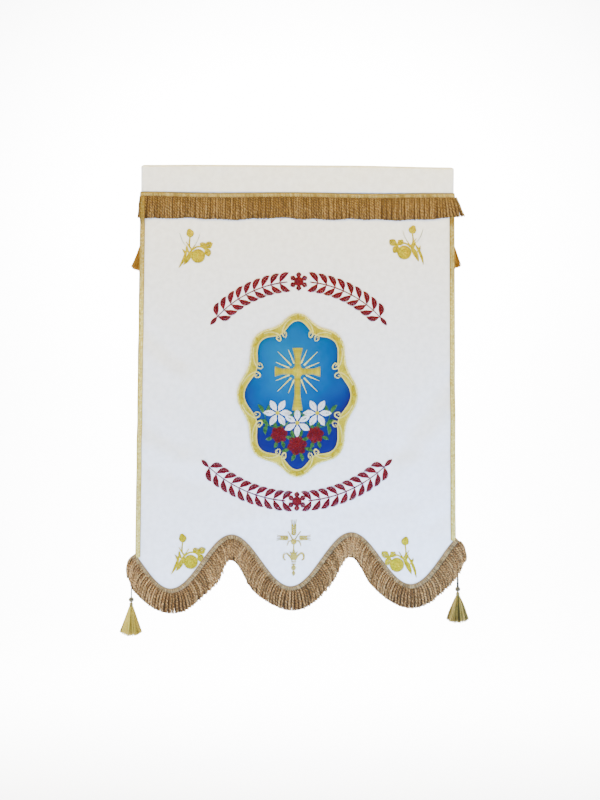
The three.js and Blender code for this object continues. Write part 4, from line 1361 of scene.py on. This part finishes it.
def lilies():
    """Six pointed petals each."""
    made = []
    for x, z, start in LILIES:
        made += bloom(field_spot(x, z), 6, 4, 31, 14, start, ground=on_field)
    return made


def stamens():
    """A raised round in the middle of each lily."""
    made = []
    for x, z, start in LILIES:
        made += disc(field_spot(x, z), 4.6 * MM, 0.05, 2.4 * MM, on_field)
    return made


def roses():
    """Six outer petals, five inner ones above them and a raised heart."""
    made = []
    for x, z, size in ROSES:
        centre = field_spot(x, z)
        made += bloom(centre, 6, size * 0.35, size, size * 0.8, 15, 1.0 * MM, on_field)
        made += bloom(centre, 5, size * 0.1, size * 0.62, size * 0.6, 40, 2.0 * MM, on_field)
        made += disc(centre, size * 0.22 * MM, 0.05, 3.0 * MM, on_field)
    return made


def greenery():
    """Leaves round every rose, and a leafy stem on either side."""
    made = []
    for x, z, size in ROSES:
        for turn in (200, 250, 290, 340, 70, 110):
            way = toward(turn)
            made += leaf(field_spot(*(np.array([x, z]) + way * size * 0.75)),
                         field_spot(*(np.array([x, z]) + way * size * 1.65)), 9 * MM, 0.08,
                         0.6 * MM, on_field)
    for side in (-1, 1):
        made += column([field_spot(side * 2, -30), field_spot(side * 26, -66),
                        field_spot(side * 62, -68), field_spot(side * 74, -40)],
                       [3 * MM, 3 * MM, 1.4 * MM], 0.6 * MM, 0.5, on_field)
        for at_x, at_z, to_x, to_z in ((62, -68, 84, -56), (72, -48, 64, -22), (66, -62, 70, -88),
                                       (74, -42, 88, -22), (18, -56, 20, -34)):
            made += leaf(field_spot(side * at_x, at_z), field_spot(side * to_x, to_z), 9.5 * MM,
                         0.1 * side, 0.6 * MM, on_field)
    return made


def frame_scrolls():
    """In each hollow a pair of scrolls that curl in over the blue."""
    made = []
    for lobe in range(LOBES):
        hollow = 22.5 + 45 * lobe
        for side in (1, -1):
            route = [frame_spot(hollow + side * turn, share) for turn, share in (
                (15, 0.62), (10, 0.6), (5.5, 0.4), (2.2, 0.0), (2.6, -0.5), (5.4, -0.66),
                (7.0, -0.35), (5.4, -0.1), (4.6, -0.28))]
            made += column(route, [1.8 * MM, 3.2 * MM, 3.4 * MM, 3.2 * MM, 2.6 * MM, 2 * MM],
                           1.0 * MM, 0.0, on_frame)
    return made


def palmettes():
    """Three leaves on the crest of each lobe."""
    made = []
    for lobe in range(LOBES):
        crest = 45 * lobe
        for side in (1, -1):
            made += leaf(frame_spot(crest + side * 1.5, 0.25), frame_spot(crest + side * 7, 0.78),
                         5 * MM, side * 0.1, 0.9 * MM, on_frame)
        made += leaf(frame_spot(crest, 0.12), frame_spot(crest, 0.9), 6.5 * MM, 0, 1.1 * MM,
                     on_frame)
    return made


lily_white = thread_finish("lily_white", ((0.52, 0.52, 0.54), (0.72, 0.72, 0.72),
                                          (0.86, 0.86, 0.84)), roughness=0.42)
leaf_green = thread_finish("leaf_green", ((0.01, 0.05, 0.012), (0.03, 0.11, 0.025),
                                          (0.09, 0.2, 0.05)), roughness=0.45)
motif = {
    "medallion_leaves": (greenery(), leaf_green), "medallion_roses": (roses(), crimson),
    "medallion_lilies": (lilies(), lily_white), "medallion_cross": (cross(), frame_gold),
    "medallion_rays": (rays(), frame_pale), "medallion_scrolls": (frame_scrolls(), frame_pale),
    "medallion_palmettes": (palmettes(), sprig_gold),
}
for number, (name, (guides, floss)) in enumerate(motif.items()):
    settle(lay(name, guides, floss, seed=70 + number, **STITCH), "pale_gold_braid")
settle(lay("medallion_stamens", stamens(), frame_gold, seed=79, **STITCH), "pale_gold_braid")
# ---- The tassels
# Each hangs on a twisted cord tacked to the cloth's back: a wound ball, then a skirt of floss
# under a bound neck. Two hang below the hem's corners, two behind the upper edges; the lower
# right one is darker, and the foot of its cord is wrapped with the same yarn.

CORD_DIAMETER, BALL_RADIUS = 3.6 * MM, 5.8 * MM
SKIRT_HALF, NECK_RADIUS, HEAD_HEIGHT = 23.5 * MM, 4.2 * MM, 11 * MM
SKIRT_RINGS = (1.0, 0.86, 0.66, 0.4)
cord_yarn = woven_finish("tassel_cord", (0.07, 0.075, 0.055), (0.02, 0.022, 0.016))
dark_yarn = woven_finish("dark_tassel_cord", (0.016, 0.018, 0.012), (0.005, 0.005, 0.004), 0.7)
# The upper tassels' floss is a darker, oranger copy of the lower ones' gold: painted shade for
# where they hang behind the cloth.
upper_floss_painted_shade = thread_finish("amber_floss", ((0.13, 0.055, 0.006), (0.24, 0.115, 0.014),
                                            (0.38, 0.2, 0.03)), roughness=0.34)
lower_floss = thread_finish("pale_gold_floss", ((0.13, 0.08, 0.01), (0.3, 0.2, 0.022),
                                                (0.5, 0.37, 0.06)), roughness=0.34)
shaded_floss = thread_finish("shaded_floss", ((0.04, 0.027, 0.005), (0.185, 0.125, 0.023),
                                              (0.5, 0.34, 0.08)), roughness=0.3)
upper_binding = woven_finish("amber_binding", (0.27, 0.14, 0.02), (0.1, 0.05, 0.01))
lower_binding = woven_finish("pale_gold_binding", (0.08, 0.054, 0.01), (0.008, 0.005, 0.002))
neck_binding = woven_finish("pale_gold_neck", (0.24, 0.17, 0.035), (0.07, 0.046, 0.01))
UPPER = dict(behind=True, flat=0.36, bell=0.48, slot="amber_floss", yarn=cord_yarn,
             floss=upper_floss_painted_shade, ball_finish=upper_binding, neck_finish=upper_binding)
LOWER = dict(behind=False, flat=0.6, slot="pale_gold_floss", ball_finish=lower_binding,
             neck_finish=neck_binding)
TASSELS = {
    "upper_left": dict(UPPER, tack=(-343, -84), at=(-347, -162), drop=69),
    "upper_right": dict(UPPER, tack=(341, -82), at=(345, -154.5), drop=68),
    "lower_left": dict(LOWER, tack=(-346, -852), at=(-360, -970), drop=68.5, bell=0.5,
                       yarn=cord_yarn, floss=lower_floss),
    "lower_right": dict(LOWER, tack=(347, -838), at=(356.5, -943), drop=63.5, bell=0.64,
                        yarn=dark_yarn, floss=shaded_floss, wrapped=True),
}


def back_depth(x, z, radius):
    """Depth of the middle of something round that lies against the cloth's back."""
    return float(drape(x, z)) + CLOTH_THICKNESS / 2 + CLEARANCE + radius


def turned(name, profile, centre, finish, segments=28, ridges=0, ridge_share=0.0, turns=0.0):
    """A closed turned body about Z from (radius, height) points, ridged as if wound."""
    verts = []
    for radius, height in profile:
        for s in range(segments):
            angle = 2 * math.pi * s / segments
            ridge = 1 + ridge_share * math.cos(ridges * angle + turns * height)
            verts.append((centre[0] + radius * ridge * math.cos(angle),
                          centre[1] + radius * ridge * math.sin(angle), centre[2] + height))
    return smooth_mesh(name, verts, tube_faces(len(profile), segments), finish)


def cord_route(tack, x, z, ball_depth, skirt_depth):
    """From the tack on the cloth's back, through the ball and into the neck."""
    end = z + BALL_RADIUS + CLEARANCE
    route = []
    for share in (0, 0.15, 0.35, 0.6, 0.8, 1):
        level = tack[1] + (end - tack[1]) * share
        aside = tack[0] + (x - tack[0]) * float(smoothstep(share, 0, 0.9))
        near = back_depth(aside, level, CORD_DIAMETER / 2)
        depth = near + (ball_depth - near) * float(smoothstep(share, 0.1, 0.9))
        route.append((aside, depth, level))
    route.append((x, (ball_depth + skirt_depth) / 2, z - BALL_RADIUS))
    route.append((x, skirt_depth, z - BALL_RADIUS - CLEARANCE - 5 * MM))
    return along(route)


def wound_ball(name, place, finish):
    """A ball of wound thread, its turns standing out as slanting ridges."""
    profile = []
    for k in range(21):
        lift = (k / 20 - 0.5) * math.pi * 0.98
        profile.append((BALL_RADIUS * 0.97 * math.cos(lift), BALL_RADIUS * math.sin(lift)))
    return turned(name, profile, place, finish, 48, 12, 0.045, 260)


def bound_neck(name, place, finish):
    """A rounded shoulder over the turns of thread that bind the skirt."""
    neck = [(0.6 * MM, 0), (2.4 * MM, -0.1 * MM), (3.4 * MM, -0.7 * MM), (4.0 * MM, -2.0 * MM)]
    for k in range(13):
        level = -3.0 * MM - k * 0.55 * MM
        neck.append((NECK_RADIUS + 0.35 * MM * math.cos(k * math.pi), level))
    neck += [(NECK_RADIUS, -HEAD_HEIGHT), (2.6 * MM, -HEAD_HEIGHT - 1 * MM)]
    return turned(name, neck[::-1], place, finish)


def wrapped_foot(name, place, finish):
    """Yarn wound round a cord's lower end, tapering upwards."""
    taper = [(0.6 * MM, 0)] + [((2.9 - 0.07 * k) * MM, (0.5 + 1.6 * k) * MM) for k in range(17)]
    return turned(name, taper + [(0.5 * MM, 27 * MM)], place, finish, 20, 2, 0.08, 900)


def skirt_guides(x, depth, top, drop, flat, bell):
    """Rings of floss from the neck, the inner ones longer and the broad sides shorter."""
    guides = []
    turn = np.linspace(0, 2 * math.pi, 49)
    cos, sin = np.cos(turn), np.sin(turn)
    for ring, reach in enumerate(SKIRT_RINGS):
        start = NECK_RADIUS * (1.0 - 0.16 * ring)
        length = (drop - 9 + 1.2 * ring) * MM + 0.9 * MM * np.sin(turn * 5 + x * 90)
        length = length - 4.5 * MM * np.abs(cos) ** 4
        out_x, out_y = SKIRT_HALF * reach - start, SKIRT_HALF * flat * reach - start
        guides.append((
            row(x + start * cos, depth + start * sin, top - 9 * MM),
            row(out_x * bell * cos, out_y * bell * sin, -length * 0.5),
            row(out_x * cos, out_y * sin, -length),
        ))
    return guides


def tassel(name, behind, tack, at, drop, flat, bell, slot, yarn, floss, ball_finish, neck_finish,
           wrapped=False):
    """One tassel: its cord, ball, neck and skirt; tack and at are (x, z) in millimetres."""
    tack = (tack[0] * MM, tack[1] * MM)
    x, z = at[0] * MM, at[1] * MM
    if behind:
        ball_depth = back_depth(x, z, BALL_RADIUS)
        skirt_depth = back_depth(x, z, SKIRT_HALF * flat)
    else:
        ball_depth = skirt_depth = back_depth(*tack, CORD_DIAMETER / 2)
    top = z - BALL_RADIUS - CLEARANCE
    path = cord_route(tack, x, z, ball_depth, skirt_depth)
    cord = twisted_cord(f"tassel_cord_{name}", path, CORD_DIAMETER / 2, yarn, 8 * MM, 10,
                        0.8 * MM)
    ball = wound_ball(f"tassel_ball_{name}", (x, ball_depth, z), ball_finish)
    head = bound_neck(f"tassel_neck_{name}", (x, skirt_depth, top), neck_finish)
    guides = skirt_guides(x, skirt_depth, top, drop, flat, bell)
    skirt = lay(f"tassel_skirt_{name}", guides, floss, pitch=0.42 * MM, radius=0.8 * MM,
                taper=0.3, sides=4, steps=8, scatter=(0.2 * MM, 0.2 * MM, 0.4 * MM),
                stray=(1.2 * MM, 1.0 * MM, 1.4 * MM), clump=(5 * MM, 3 * MM, 3 * MM),
                clump_scale=160.0, wave=0.35 * MM, waves=1.5, shade_scale=330.0,
                shade_spread=0.6, shade_drift=2.4, shade_level=-1.0, seed=51)
    if wrapped:
        wrap = wrapped_foot(f"tassel_wrap_{name}", (x, ball_depth, z + 0.9 * BALL_RADIUS), yarn)
        settle(wrap, slot)
    settle(cord, "twisted_cord", f"cord_{name}")
    settle(ball, slot, f"ball_{name}")
    settle(skirt, slot, f"skirt_{name}")
    settle(head, slot)


for name, facts in TASSELS.items():
    tassel(name, **facts)
